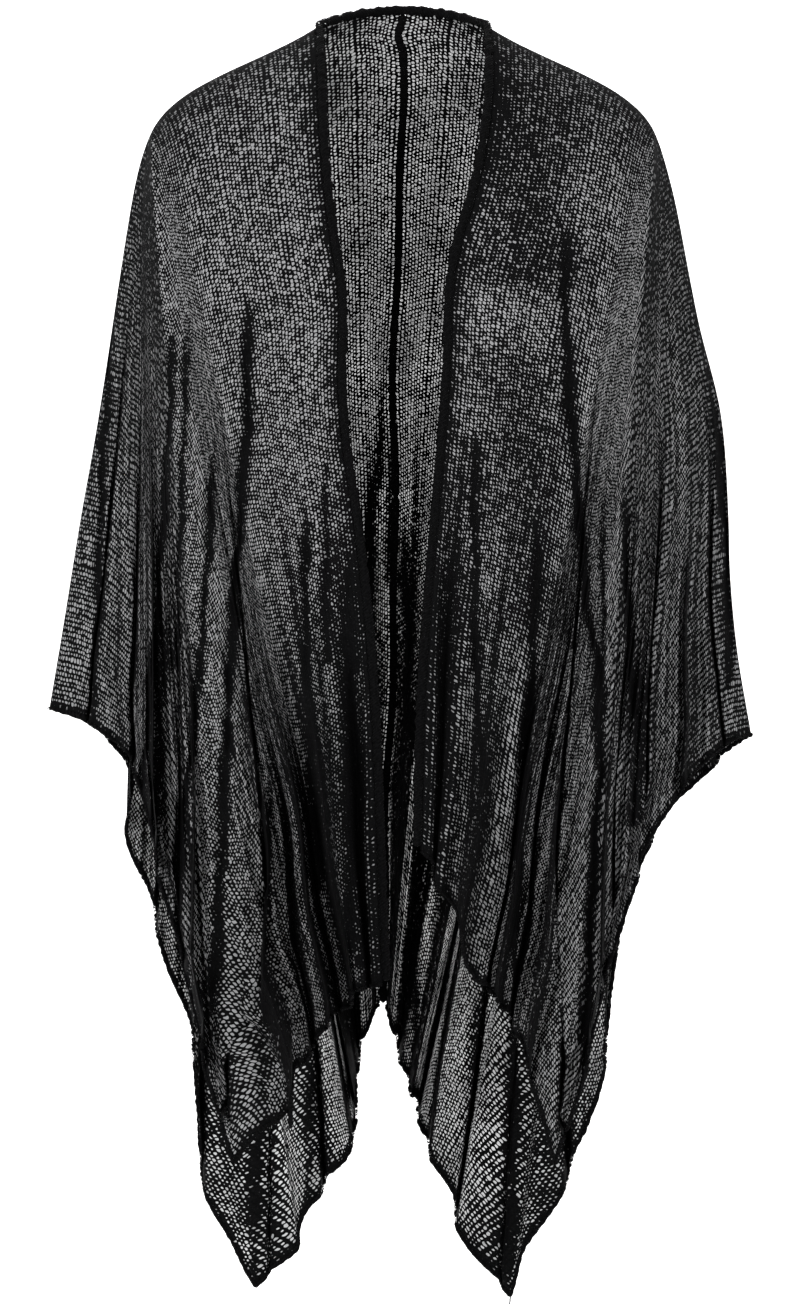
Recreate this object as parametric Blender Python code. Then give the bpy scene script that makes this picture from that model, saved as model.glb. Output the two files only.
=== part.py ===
"""An open-front stole of black net knit, hanging as it does when worn.

Two straight lengths of knit are joined down the middle of the back and hang over the shoulders and
upper arms, open at the front. Metres, +Z up. The front faces -Y and the wearer's left is at +X. The
origin lies between the shoulders, level with the top of the back neck.

Each length is drawn as hang lines. A hang line starts on the shoulder line, or at the shoulder point
for the cloth that fans out over the arm, and falls to the hem or to the open side. "Around" is the
distance along the lower edge of the flat cloth, from the front corner at the opening, along the front
hem, up the open side to the sleeve end, down the side of the back and along the back hem to the seam.
"""

from collections import namedtuple

import bmesh
import bpy
import numpy as np

# The cut of each length, flat
PANEL_WIDTH = 0.76  # from the back seam to the open side
FRONT_LENGTH = 0.76  # from the shoulder line to the front hem
BACK_LENGTH = 0.88  # from the shoulder line to the back hem
NECK_WIDTH = 0.08  # the part of the back's width that lies behind the neck
NECK_SCOOP = 0.03  # how far the back neck edge dips at the seam
SHOULDER_WIDTH = 0.165  # from the side of the neck to the shoulder point

# The cloth and its edges
WALL = 0.0016  # the cloth's thickness
GAP = 0.0003  # between pieces that meet
HEM_GAP = 0.0010  # between the hem roll and the cloth, where folds pinch it
EDGE_RADIUS = 0.0036  # the thick roll of the front and neck edge
HEM_RADIUS = 0.0017  # the narrow roll of the hems
SEAM_RADIUS = 0.0030  # the ridge of the back seam
SEAM_HALF = SEAM_RADIUS + GAP + WALL / 2  # from the seam's middle to each length
HEM_TRIM = 0.0035  # the hem roll stops this far from the front edge and the seam

# How it is worn
NECK_X = 0.075  # half the width of the neck opening in the cloth
NECK_Z = -0.012  # the side of the neck
NAPE_Y = 0.050  # the nape lies this far behind the shoulder line
SEAM_DRIFT = -0.016  # the seam hangs this far to the side at the hem
CHEST_REACH = 0.115  # the length over which cloth rounds the shoulder, front or back
SHOULDER_REACH = 0.045  # the length over which cloth rounds the shoulder, sideways
SHOULDER_SPREAD = 0.45  # the sideways slope of the arm line at the shoulder point

# The slope of the shoulder line below level, in degrees, by distance from the neck
SHOULDER_SLOPES = ((0.0, 32), (0.03, 26), (0.07, 24), (0.11, 27), (0.14, 36), (0.165, 52))

# How finely the shapes are drawn
ROWS = (0.0, 0.03, 0.07, 0.12, 0.18, 0.25, 0.33, 0.42, 0.52, 0.62, 0.72, 0.82, 0.91, 1.0)
STEPS = 200  # small steps down a hang line
NECK_LINES = 2  # stretches between hang lines behind the neck
SHOULDER_LINES = 7  # stretches between hang lines from neck to shoulder point
LINE_SPACING = 0.034  # between hang lines along the lower edge, at most
LEAST_SLANT = 0.22  # the least sine of the angle of the cloth's threads with an edge, for its roll
EDGE_SIDES = 8
HEM_SIDES = 6

# A fold line: where it ends around the lower edge of its layer, counted from the opening in front and
# from the seam in the back; the place of that end, sideways from the centre and front (-) or back (+);
# the share of the drop at which the fold begins, 0 for a line that carries the cloth from the
# shoulder.
Fold = namedtuple("Fold", "at x y begins")

LEFT_FRONT = (
    Fold(0.000, 0.0150, -0.125, 0.00),
    Fold(0.055, 0.0380, -0.152, 0.35),
    Fold(0.105, 0.0470, -0.118, 0.35),
    Fold(0.165, 0.0610, -0.138, 0.00),
    Fold(0.245, 0.0730, -0.100, 0.38),
    Fold(0.325, 0.0850, -0.142, 0.35),
    Fold(0.405, 0.0950, -0.098, 0.35),
    Fold(0.495, 0.1070, -0.140, 0.30),
    Fold(0.585, 0.1180, -0.098, 0.30),
    Fold(0.680, 0.1310, -0.126, 0.00),
    Fold(0.750, 0.1460, -0.085, 0.50),
    Fold(0.820, 0.1600, -0.120, 0.48),
    Fold(0.890, 0.1720, -0.072, 0.45),
    Fold(0.960, 0.1850, -0.104, 0.45),
    Fold(1.030, 0.1970, -0.058, 0.40),
    Fold(1.090, 0.2100, -0.082, 0.00),
    Fold(1.160, 0.2260, -0.044, 0.38),
    Fold(1.235, 0.2450, -0.066, 0.35),
    Fold(1.310, 0.2640, -0.026, 0.30),
    Fold(1.380, 0.2830, -0.034, 0.25),
    Fold(1.440, 0.2990, 0.000, 0.00),
)

LEFT_BACK = (
    Fold(0.000, SEAM_HALF + SEAM_DRIFT, 0.115, 0.00),
    Fold(0.060, -0.0030, 0.146, 0.35),
    Fold(0.120, 0.0060, 0.110, 0.35),
    Fold(0.185, 0.0140, 0.148, 0.42),
    Fold(0.250, 0.0210, 0.112, 0.00),
    Fold(0.320, 0.0270, 0.146, 0.48),
    Fold(0.390, 0.0330, 0.110, 0.48),
    Fold(0.455, 0.0390, 0.140, 0.50),
    Fold(0.520, 0.0440, 0.105, 0.00),
    Fold(0.580, 0.0500, 0.134, 0.50),
    Fold(0.640, 0.0560, 0.102, 0.50),
    Fold(0.700, 0.0690, 0.128, 0.40),
    Fold(0.760, 0.0920, 0.100, 0.00),
    Fold(0.825, 0.1140, 0.070, 0.50),
    Fold(0.895, 0.1410, 0.108, 0.50),
    Fold(0.965, 0.1630, 0.068, 0.50),
    Fold(1.035, 0.1740, 0.098, 0.45),
    Fold(1.100, 0.1800, 0.066, 0.45),
    Fold(1.165, 0.1880, 0.090, 0.40),
    Fold(1.220, 0.2000, 0.062, 0.00),
    Fold(1.280, 0.2120, 0.040, 0.40),
    Fold(1.350, 0.2340, 0.066, 0.40),
    Fold(1.420, 0.2520, 0.028, 0.35),
    Fold(1.500, 0.2790, 0.040, 0.30),
    Fold(1.575, 0.2900, 0.012, 0.25),
    Fold(1.640, 0.2990, 0.000, 0.00),
)

RIGHT_FRONT = (
    Fold(0.000, 0.0175, -0.128, 0.00),
    Fold(0.060, 0.0340, -0.156, 0.30),
    Fold(0.110, 0.0400, -0.120, 0.30),
    Fold(0.165, 0.0470, -0.140, 0.00),
    Fold(0.240, 0.0540, -0.100, 0.40),
    Fold(0.315, 0.0620, -0.140, 0.36),
    Fold(0.400, 0.0710, -0.100, 0.34),
    Fold(0.490, 0.0840, -0.138, 0.30),
    Fold(0.585, 0.1070, -0.096, 0.28),
    Fold(0.680, 0.1430, -0.128, 0.00),
    Fold(0.755, 0.1580, -0.084, 0.50),
    Fold(0.830, 0.1720, -0.122, 0.45),
    Fold(0.900, 0.1840, -0.072, 0.42),
    Fold(0.970, 0.1960, -0.104, 0.38),
    Fold(1.035, 0.2070, -0.060, 0.36),
    Fold(1.090, 0.2170, -0.082, 0.00),
    Fold(1.160, 0.2310, -0.042, 0.28),
    Fold(1.235, 0.2490, -0.066, 0.26),
    Fold(1.310, 0.2670, -0.026, 0.24),
    Fold(1.380, 0.2850, -0.034, 0.20),
    Fold(1.440, 0.3036, 0.000, 0.00),
)

RIGHT_BACK = (
    Fold(0.000, SEAM_HALF - SEAM_DRIFT, 0.115, 0.00),
    Fold(0.060, 0.0330, 0.148, 0.32),
    Fold(0.120, 0.0400, 0.110, 0.32),
    Fold(0.185, 0.0460, 0.146, 0.38),
    Fold(0.250, 0.0520, 0.112, 0.00),
    Fold(0.320, 0.0580, 0.144, 0.46),
    Fold(0.390, 0.0640, 0.110, 0.46),
    Fold(0.455, 0.0700, 0.140, 0.46),
    Fold(0.520, 0.0760, 0.105, 0.00),
    Fold(0.580, 0.0820, 0.132, 0.50),
    Fold(0.640, 0.0880, 0.102, 0.50),
    Fold(0.700, 0.1040, 0.126, 0.40),
    Fold(0.760, 0.1270, 0.100, 0.00),
    Fold(0.825, 0.1550, 0.070, 0.50),
    Fold(0.895, 0.1700, 0.104, 0.48),
    Fold(0.965, 0.1780, 0.084, 0.48),
    Fold(1.035, 0.1890, 0.092, 0.45),
    Fold(1.100, 0.2000, 0.070, 0.42),
    Fold(1.165, 0.2090, 0.088, 0.38),
    Fold(1.220, 0.2210, 0.062, 0.00),
    Fold(1.280, 0.2275, 0.046, 0.34),
    Fold(1.350, 0.2360, 0.054, 0.34),
    Fold(1.415, 0.2450, 0.042, 0.32),
    Fold(1.480, 0.2580, 0.046, 0.30),
    Fold(1.560, 0.2800, 0.014, 0.25),
    Fold(1.640, 0.3036, 0.000, 0.00),
)

# The rim of the cloth along the front opening: the share of its length from the side of the neck down
# to the hem, and how far it hangs from the centre there.
Rim = namedtuple("Rim", "share x")

LEFT_RIM = (
    Rim(0.00, NECK_X),
    Rim(0.10, 0.0770),
    Rim(0.15, 0.0745),
    Rim(0.20, 0.0690),
    Rim(0.25, 0.0605),
    Rim(0.30, 0.0495),
    Rim(0.35, 0.0432),
    Rim(0.45, 0.0402),
    Rim(0.57, 0.0332),
    Rim(0.67, 0.0264),
    Rim(0.85, 0.0175),
    Rim(1.00, 0.0150),
)

RIGHT_RIM = (
    Rim(0.00, NECK_X),
    Rim(0.09, 0.0730),
    Rim(0.15, 0.0711),
    Rim(0.20, 0.0680),
    Rim(0.25, 0.0630),
    Rim(0.30, 0.0560),
    Rim(0.41, 0.0554),
    Rim(0.46, 0.0522),
    Rim(0.52, 0.0445),
    Rim(0.60, 0.0359),
    Rim(1.00, 0.0175),
)

# A side of the stole: its name, +1 for the wearer's left, its folds, its rim, and how much longer
# (above 1) or shorter the knit hangs at the sleeve end and along the rim than it was cut.
Side = namedtuple("Side", "name sign front back rim sleeve_give rim_give")
LEFT = Side("left", 1, LEFT_FRONT, LEFT_BACK, LEFT_RIM, 1.03, 1.0)
RIGHT = Side("right", -1, RIGHT_FRONT, RIGHT_BACK, RIGHT_RIM, 0.985, 1.08)

POLE = NECK_WIDTH + SHOULDER_WIDTH  # the shoulder point, across the flat cloth
FRONT_AROUND = PANEL_WIDTH - NECK_WIDTH + FRONT_LENGTH
BACK_AROUND = PANEL_WIDTH + BACK_LENGTH
AROUND = FRONT_AROUND + BACK_AROUND

BLACK_YARN = (0.012, 0.012, 0.013, 1.0)


def through(knots, values, at):
    """The curve through (knot, value) pairs: each stretch is the cubic whose slope at a knot is the
    slope of the values round that knot."""
    slopes = np.gradient(values, knots)
    i = np.clip(np.searchsorted(knots, at, side="right") - 1, 0, len(knots) - 2)
    step = knots[i + 1] - knots[i]
    u = (at - knots[i]) / step
    start = (2 * u**3 - 3 * u**2 + 1) * values[i] + (u**3 - 2 * u**2 + u) * step * slopes[i]
    end = (3 * u**2 - 2 * u**3) * values[i + 1] + (u**3 - u**2) * step * slopes[i + 1]
    return start + end


def fold_table(side):
    """The side's fold lines as one table around the whole lower edge: the front's rows as they stand,
    then the back's from the sleeve end to the seam, without the sleeve end twice."""
    front = np.array(side.front)
    back = np.array(side.back)[::-1][1:]
    back[:, 0] = AROUND - back[:, 0]
    table = np.concatenate([front, back])
    return dict(zip(Fold._fields, table.T))


def flat_lines(around):
    """Both ends of the hang lines on the flat cloth, across from the seam and down from the shoulder
    line. A line from neck or shoulder runs straight down; the others leave the shoulder point."""
    front = around <= FRONT_AROUND
    from_edge = np.where(front, around, AROUND - around)
    first = np.where(front, NECK_WIDTH, 0.0)
    hem = PANEL_WIDTH - first
    length = np.where(front, FRONT_LENGTH, BACK_LENGTH)
    end_across = first + np.minimum(from_edge, hem)
    end_down = length - np.maximum(from_edge - hem, 0)
    top_across = np.minimum(end_across, POLE)
    top_down = NECK_SCOOP * (1 - np.minimum(top_across / NECK_WIDTH, 1) ** 2)
    return top_across, top_down, end_across, end_down


def shoulder_point(across):
    """The place in space where a hang line starts. Behind the neck the edge is a parabola from the
    nape to the side of the neck. From there the shoulder line runs down its table of slopes."""
    from_neck = np.linspace(0, SHOULDER_WIDTH, 67)
    slope = np.radians(np.interp(from_neck, *np.array(SHOULDER_SLOPES).T))
    step = from_neck[1]
    x = NECK_X + np.concatenate([[0], np.cumsum(np.cos(slope[:-1]) * step)])
    z = NECK_Z - np.concatenate([[0], np.cumsum(np.sin(slope[:-1]) * step)])
    out = across - NECK_WIDTH
    behind = np.clip(across / NECK_WIDTH, 0, 1)
    neck_x = SEAM_HALF + (NECK_X - SEAM_HALF) * behind
    top_x = np.where(out < 0, neck_x, np.interp(out, from_neck, x))
    top_y = NAPE_Y * (1 - behind**2)
    top_z = np.where(out < 0, NECK_Z * behind**2, np.interp(out, from_neck, z))
    return top_x, top_y, top_z


def drape(side, around):
    """The hang lines at these places around the lower edge, as an array of lines by small steps by
    (x, y, z). Sideways and front to back a line goes from its start towards the place that the fold
    table gives for its end. Lines close to the front rim swing with it. For the rest of its length a
    line falls."""
    table = fold_table(side)
    top_across, top_down, end_across, end_down = flat_lines(around)
    length = np.hypot(end_across - top_across, end_down - top_down)
    outward = (end_across - top_across) / length  # 0 straight down the cloth, 1 along the arm
    top_x, top_y, top_z = shoulder_point(top_across)

    knots = table["at"]
    carrying = table["begins"] == 0
    begins = np.interp(around, knots, table["begins"])[:, None]
    share = np.linspace(0, 1, STEPS + 1)
    grown = np.clip((share - begins) / (1 - begins), 0, 1)
    towards = []
    for name in "xy":
        carried = through(knots[carrying], table[name][carrying], around)[:, None]
        folded = through(knots, table[name], around)[:, None]
        towards.append(carried + (folded - carried) * grown)

    near_rim = np.clip(1 - (top_across - NECK_WIDTH) / SHOULDER_WIDTH, 0, 1)
    near_rim = np.where(around <= FRONT_AROUND, near_rim, 0)
    give = 1 + (side.sleeve_give - 1) * outward**2 + (side.rim_give - 1) * near_rim
    run = (length * give)[:, None] * share
    rim = dict(zip(Rim._fields, np.array(side.rim).T))
    rim_swing = through(rim["share"], rim["x"], share) - np.interp(share, (0, 1), rim["x"][[0, -1]])
    spread = SHOULDER_SPREAD * SHOULDER_REACH * outward[:, None]
    start = top_x[:, None]
    rounding = spread * (1 - np.exp(-run / SHOULDER_REACH))
    x = start + rounding + (towards[0] - start - spread) * share + near_rim[:, None] * rim_swing
    y = top_y[:, None] + (towards[1] - top_y[:, None]) * (1 - np.exp(-run / CHEST_REACH))
    steps = np.diff(run, axis=1)
    sideways = np.diff(x, axis=1) ** 2 + np.diff(y, axis=1) ** 2
    fall = np.sqrt(np.maximum(steps**2 - sideways, 0.01 * steps**2))
    z = top_z[:, None] - np.concatenate([np.zeros((len(around), 1)), np.cumsum(fall, axis=1)], axis=1)
    return np.stack([side.sign * x, y, z], axis=2)


def line_places(side):
    """Where the panel's hang lines end around its lower edge. Those from neck and shoulder stand at
    the same places across the cloth in front and back. In the fan over the arm every fold line has
    one, with others between."""
    knots = fold_table(side)["at"]
    front = np.linspace(0, SHOULDER_WIDTH, SHOULDER_LINES + 1)
    fan = [SHOULDER_WIDTH, AROUND - POLE]
    inside = (knots > fan[0] + LINE_SPACING / 2) & (knots < fan[1] - LINE_SPACING / 2)
    stops = [fan[0], *knots[inside], fan[1]]
    between = []
    for low, high in zip(stops[:-1], stops[1:]):
        parts = int(np.ceil((high - low) / LINE_SPACING))
        between.extend(low + (high - low) * np.arange(parts) / parts)
    back = AROUND - POLE + np.linspace(0, SHOULDER_WIDTH, SHOULDER_LINES + 1)
    neck = AROUND - NECK_WIDTH + np.linspace(0, NECK_WIDTH, NECK_LINES + 1)[1:]
    return np.concatenate([front[:-1], between, back, neck])


def panel_grid(side):
    """The panel's middle surface as hang lines by rows."""
    rows = np.round(np.array(ROWS) * STEPS).astype(int)
    return drape(side, line_places(side))[:, rows]


def black_knit(name, roughness):
    material = bpy.data.materials.new(name)
    material.use_nodes = True
    shader = material.node_tree.nodes["Principled BSDF"]
    shader.inputs["Base Color"].default_value = BLACK_YARN
    shader.inputs["Roughness"].default_value = roughness
    shader.inputs["Metallic"].default_value = 0.0
    return material


def add_object(name, points, faces, roughness):
    mesh = bpy.data.meshes.new(name)
    mesh.from_pydata(points, [], faces)
    mesh.materials.append(black_knit(name, roughness))
    thing = bpy.data.objects.new(name, mesh)
    bpy.context.scene.collection.objects.link(thing)
    cloth = bmesh.new()
    cloth.from_mesh(mesh)
    bmesh.ops.recalc_face_normals(cloth, faces=cloth.faces)
    cloth.to_mesh(mesh)
    cloth.free()


def unit(vectors):
    return vectors / np.linalg.norm(vectors, axis=-1, keepdims=True)


def facing(grid):
    """The way the cloth faces at every point: square to the hang line and to the mean of the ways
    across it, from the line before and to the line after, so that it halves the corner of a fold.
    On the shoulder the row below stands in, as the fan has no width there."""
    down = unit(np.gradient(grid, axis=1))
    step = np.diff(grid, axis=0)
    step[:, 0] = step[:, 1]
    across = np.zeros_like(grid)
    for way in (np.concatenate([step[:1], step]), np.concatenate([step, step[-1:]])):
        across += unit(way - np.sum(way * down, axis=2, keepdims=True) * down)
    return unit(np.cross(down, across))


def add_panel(side):
    """One length of cloth as a closed wall: the grid moved out and in by half the thickness, joined
    round the rim. Points that meet, on the shoulder line and at the shoulder point, are one point
    that faces the mean way."""
    grid = panel_grid(side)
    lines, rows = grid.shape[:2]
    places, same = np.unique(np.round(grid.reshape(-1, 3), 5), axis=0, return_inverse=True)
    same = same.reshape(-1)
    way = np.zeros_like(places)
    np.add.at(way, same, facing(grid).reshape(-1, 3))
    way = unit(way) * WALL / 2
    points = np.concatenate([places + way, places - way])
    corner = same.reshape(lines, rows)
    above, below, after, far = corner[:-1, :-1], corner[:-1, 1:], corner[1:, :-1], corner[1:, 1:]
    first_half = np.stack([above, below, far], axis=-1)
    second_half = np.stack([above, far, after], axis=-1)
    halves = np.concatenate([first_half.reshape(-1, 3), second_half.reshape(-1, 3)])
    whole = (halves != np.roll(halves, 1, axis=1)).all(axis=1)
    outer = halves[whole].tolist()
    inner = (halves[whole][:, ::-1] + len(places)).tolist()
    rim = [*corner[0, ::-1], *corner[-NECK_LINES:, 0], *corner[-1, 1:], *corner[-2:0:-1, -1]]
    rim = [int(k) for k in rim]
    edge = [[a, b, b + len(places), a + len(places)] for a, b in zip(rim, rim[1:] + rim[:1])]
    add_object(f"{side.name}_panel", points, outer + inner + edge, 0.85)


def add_roll(name, path, out, way, radius, sides):
    """A round roll along a path: at every point a ring of points, out and way being its two radii,
    with a flat cap on both ends."""
    turn = np.linspace(0, 2 * np.pi, sides, endpoint=False)[None, :, None]
    rings = path[:, None] + radius * (np.cos(turn) * out[:, None] + np.sin(turn) * way[:, None])
    count = len(path)
    corner = np.arange(count * sides).reshape(count, sides)
    after = np.roll(corner, -1, axis=1)
    quads = np.stack([corner[:-1], corner[1:], after[1:], after[:-1]], axis=2).reshape(-1, 4)
    caps = [corner[0].tolist(), corner[-1].tolist()]
    add_object(name, rings.reshape(-1, 3), quads.tolist() + caps, 0.9)


def beyond(edge, inner):
    """The cloth's own direction past its edge, made longer where it leaves the edge at a slant, so
    that a roll which is measured with it keeps its width. inner is the next row inside the cloth."""
    out = unit(edge - inner)
    along = unit(np.diff(edge, axis=0))
    before = np.linalg.norm(np.cross(out[1:], along), axis=1)
    after = np.linalg.norm(np.cross(out[:-1], along), axis=1)
    slant = np.minimum(np.insert(before, 0, after[0]), np.append(after, before[-1]))
    return out / np.maximum(slant, LEAST_SLANT)[:, None]


def stretched(path, first, last):
    """The path with its first and last point moved outwards along it by these lengths."""
    path = path.copy()
    path[0] += unit(path[0] - path[1]) * first
    path[-1] += unit(path[-1] - path[-2]) * last
    return path


def add_rolled_edge(side):
    """The thick roll from the front hem up to the neck and round it to the seam, where it ends flat
    against the roll of the other side. It is parted at the side of the neck into two solids, each of
    which bends one way."""
    grid = panel_grid(side)
    way = facing(grid)
    front = beyond(grid[0], grid[1])[::-1]
    neck = beyond(grid[-NECK_LINES - 1 :, 0], grid[-NECK_LINES - 1 :, 1])
    turning = unit(front[-1:] + neck[:1])
    out = np.concatenate([front[:-1], turning, neck[1:], neck[-1:]])
    path = np.concatenate([grid[0, ::-1], grid[-NECK_LINES:, 0], grid[-1:, 0]])
    way = np.concatenate([way[0, ::-1], way[-NECK_LINES:, 0], way[-1:, 0]])
    out[-2:, 0] = 0
    way[-2:, 0] = 0
    way[-2:] = unit(way[-2:])
    path = path + out * (EDGE_RADIUS + GAP)
    path[0] += unit(path[0] - path[1]) * (2 * HEM_RADIUS + HEM_GAP)
    path[-1, 0] = side.sign * GAP / 2
    corner = grid.shape[1] - 1
    up = slice(0, corner + 1)
    add_roll(f"{side.name}_front_edge", path[up], out[up], way[up], EDGE_RADIUS, EDGE_SIDES)
    path[corner] += unit(path[corner + 1] - path[corner]) * GAP
    add_roll(f"{side.name}_neck_edge", path[corner:], out[corner:], way[corner:], EDGE_RADIUS, EDGE_SIDES)


def add_hem(side):
    """The narrow roll along the front hem, the open side and the back hem."""
    grid = panel_grid(side)
    out = beyond(grid[:, -1], grid[:, -2])
    path = stretched(grid[:, -1] + out * (HEM_RADIUS + HEM_GAP), -HEM_TRIM, -HEM_TRIM)
    add_roll(f"{side.name}_hem", path, out, facing(grid)[:, -1], HEM_RADIUS, HEM_SIDES)


def add_back_seam():
    """The ridge between the two lengths, from the neck edge to the back hem."""
    left, right = panel_grid(LEFT)[-1], panel_grid(RIGHT)[-1]
    path = stretched((left + right) / 2, -GAP, 2 * HEM_RADIUS + HEM_GAP)
    aside = unit(left - right)
    way = unit(np.cross(aside, np.gradient(path, axis=0)))
    add_roll("back_seam", path, aside, way, SEAM_RADIUS, EDGE_SIDES)


def main():
    for thing in list(bpy.data.objects):
        bpy.data.objects.remove(thing)
    for side in (LEFT, RIGHT):
        add_panel(side)
        add_rolled_edge(side)
        add_hem(side)
    add_back_seam()


main()
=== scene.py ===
# %% [markdown]
# # A net-knit stole, worn open at the front
#
# The stole is two straight lengths of very open black knit, joined down the middle of the back. Each
# hangs over a shoulder and an arm. This lesson draws the cloth as hang lines of fixed length, so the
# hems and points come from the flat cut, then gives it a knitted net, rolled edges and a seam.

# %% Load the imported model
from collections import namedtuple
import bmesh
import bpy
import numpy as np
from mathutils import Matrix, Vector


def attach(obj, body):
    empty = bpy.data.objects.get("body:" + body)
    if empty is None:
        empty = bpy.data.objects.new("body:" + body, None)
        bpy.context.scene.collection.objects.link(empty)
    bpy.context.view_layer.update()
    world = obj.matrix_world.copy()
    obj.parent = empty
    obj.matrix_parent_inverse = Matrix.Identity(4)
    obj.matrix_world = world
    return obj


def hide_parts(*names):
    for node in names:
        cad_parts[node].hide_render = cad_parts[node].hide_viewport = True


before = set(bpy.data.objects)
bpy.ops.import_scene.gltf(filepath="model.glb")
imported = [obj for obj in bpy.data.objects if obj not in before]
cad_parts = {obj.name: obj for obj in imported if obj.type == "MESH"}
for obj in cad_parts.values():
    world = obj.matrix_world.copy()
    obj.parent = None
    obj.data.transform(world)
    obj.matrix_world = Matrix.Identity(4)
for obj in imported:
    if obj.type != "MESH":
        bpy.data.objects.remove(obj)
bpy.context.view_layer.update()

# %% [markdown]
# ## The flat cut
#
# A maker cuts each length as a rectangle. The front is shorter than the back, and the back neck dips a
# little at the seam. A simulation could drop these flat pieces on a body, but the photograph shows one
# certain hang, so the hang is worked out from the cut, and every point of the cloth keeps its place on
# the flat length. That place is later the cloth's own map for the knit.

# %% The cut and the wearing, in metres
PANEL_WIDTH = 0.76
FRONT_LENGTH = 0.76
BACK_LENGTH = 0.88
NECK_WIDTH = 0.08
NECK_SCOOP = 0.03
SHOULDER_WIDTH = 0.165
NECK_X = 0.075
NECK_Z = -0.012
NAPE_Y = 0.050
SEAM_HALF = 0.0026
SEAM_DRIFT = -0.016
CHEST_REACH = 0.115
SHOULDER_REACH = 0.045
SHOULDER_SPREAD = 0.45
SHOULDER_SLOPES = ((0.0, 32), (0.03, 26), (0.07, 24), (0.11, 29), (0.14, 41), (0.165, 60))
POLE = NECK_WIDTH + SHOULDER_WIDTH
FRONT_AROUND = PANEL_WIDTH - NECK_WIDTH + FRONT_LENGTH
BACK_AROUND = PANEL_WIDTH + BACK_LENGTH
AROUND = FRONT_AROUND + BACK_AROUND
CORNERS = (0, PANEL_WIDTH - NECK_WIDTH, FRONT_AROUND, AROUND - PANEL_WIDTH, AROUND)
FRONT_CORNER, SLEEVE_END = 1, 2

# %% [markdown]
# ## Where the lower edge hangs
#
# "Around" is the distance along the lower edge of the flat length: from the front corner at the opening,
# along the front hem, up the open side to the sleeve end, down the side of the back and along the back
# hem to the seam. A row says where that place of the edge hangs: sideways, and front (-) to back (+).
# Back rows count from the seam. Tables of a few rows are used, as a maker pins a hem at a few places.

# %% Pins along the lower edge
def table(kind, *rows):
    """The rows as named rows of this kind."""
    return tuple(kind(*row) for row in rows)


Pin = namedtuple("Pin", "at x y")
LEFT_FRONT = table(
    Pin,
    (0.000, 0.015, -0.117), (0.055, 0.036, -0.123), (0.105, 0.048, -0.122), (0.165, 0.066, -0.124),
    (0.250, 0.078, -0.121), (0.330, 0.088, -0.120), (0.420, 0.100, -0.118), (0.510, 0.111, -0.117),
    (0.600, 0.121, -0.116), (0.680, 0.131, -0.114), (0.750, 0.146, -0.108), (0.820, 0.160, -0.102),
    (0.890, 0.172, -0.094), (0.960, 0.185, -0.086), (1.030, 0.197, -0.078), (1.090, 0.210, -0.072),
    (1.160, 0.227, -0.060), (1.235, 0.247, -0.048), (1.310, 0.266, -0.032), (1.380, 0.284, -0.018),
    (1.440, 0.299, 0.000),
)
LEFT_BACK = table(
    Pin,
    (0.000, SEAM_HALF + SEAM_DRIFT, 0.105), (0.050, -0.012, 0.110), (0.105, -0.006, 0.111),
    (0.165, 0.002, 0.112), (0.245, 0.009, 0.111), (0.315, 0.012, 0.111), (0.385, 0.014, 0.110),
    (0.450, 0.019, 0.108), (0.520, 0.031, 0.108), (0.580, 0.043, 0.107), (0.640, 0.048, 0.104),
    (0.700, 0.065, 0.102), (0.760, 0.092, 0.099), (0.820, 0.104, 0.094), (0.880, 0.133, 0.092),
    (0.945, 0.156, 0.088), (1.020, 0.173, 0.086), (1.100, 0.179, 0.080), (1.180, 0.187, 0.072),
    (1.260, 0.202, 0.060), (1.340, 0.221, 0.048), (1.420, 0.249, 0.036), (1.500, 0.275, 0.024),
    (1.570, 0.291, 0.012), (1.640, 0.299, 0.000),
)
RIGHT_FRONT = table(
    Pin,
    (0.000, 0.0175, -0.119), (0.060, 0.036, -0.125), (0.110, 0.043, -0.124), (0.165, 0.050, -0.125),
    (0.240, 0.060, -0.122), (0.315, 0.070, -0.120), (0.400, 0.080, -0.118), (0.490, 0.094, -0.117),
    (0.585, 0.115, -0.116), (0.680, 0.146, -0.114), (0.755, 0.160, -0.108), (0.830, 0.174, -0.100),
    (0.900, 0.186, -0.092), (0.970, 0.198, -0.084), (1.035, 0.210, -0.076), (1.090, 0.216, -0.070),
    (1.160, 0.224, -0.058), (1.235, 0.236, -0.046), (1.310, 0.258, -0.030), (1.380, 0.281, -0.016),
    (1.440, 0.3036, 0.000),
)
RIGHT_BACK = table(
    Pin,
    (0.000, SEAM_HALF - SEAM_DRIFT, 0.105), (0.050, 0.027, 0.110), (0.105, 0.036, 0.111),
    (0.165, 0.040, 0.112), (0.245, 0.041, 0.111), (0.315, 0.041, 0.111), (0.385, 0.042, 0.110),
    (0.450, 0.046, 0.108), (0.520, 0.057, 0.108), (0.580, 0.081, 0.107), (0.640, 0.090, 0.104),
    (0.700, 0.093, 0.102), (0.760, 0.127, 0.099), (0.820, 0.148, 0.094), (0.880, 0.171, 0.092),
    (0.945, 0.176, 0.088), (1.020, 0.181, 0.086), (1.100, 0.201, 0.080), (1.180, 0.217, 0.070),
    (1.280, 0.238, 0.056), (1.360, 0.233, 0.046), (1.430, 0.240, 0.036), (1.490, 0.257, 0.026),
    (1.550, 0.276, 0.016), (1.640, 0.3036, 0.000),
)
print("pins a side:", len(LEFT_FRONT) + len(LEFT_BACK))

# %% [markdown]
# ## The rim along the opening
#
# Both front edges swing inwards below the collar bones and hang at different distances from the middle.
# A row gives the share of the rim's length from the neck down, and its distance from the middle. The
# lines next to the rim follow it less and less towards the shoulder point.

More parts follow.
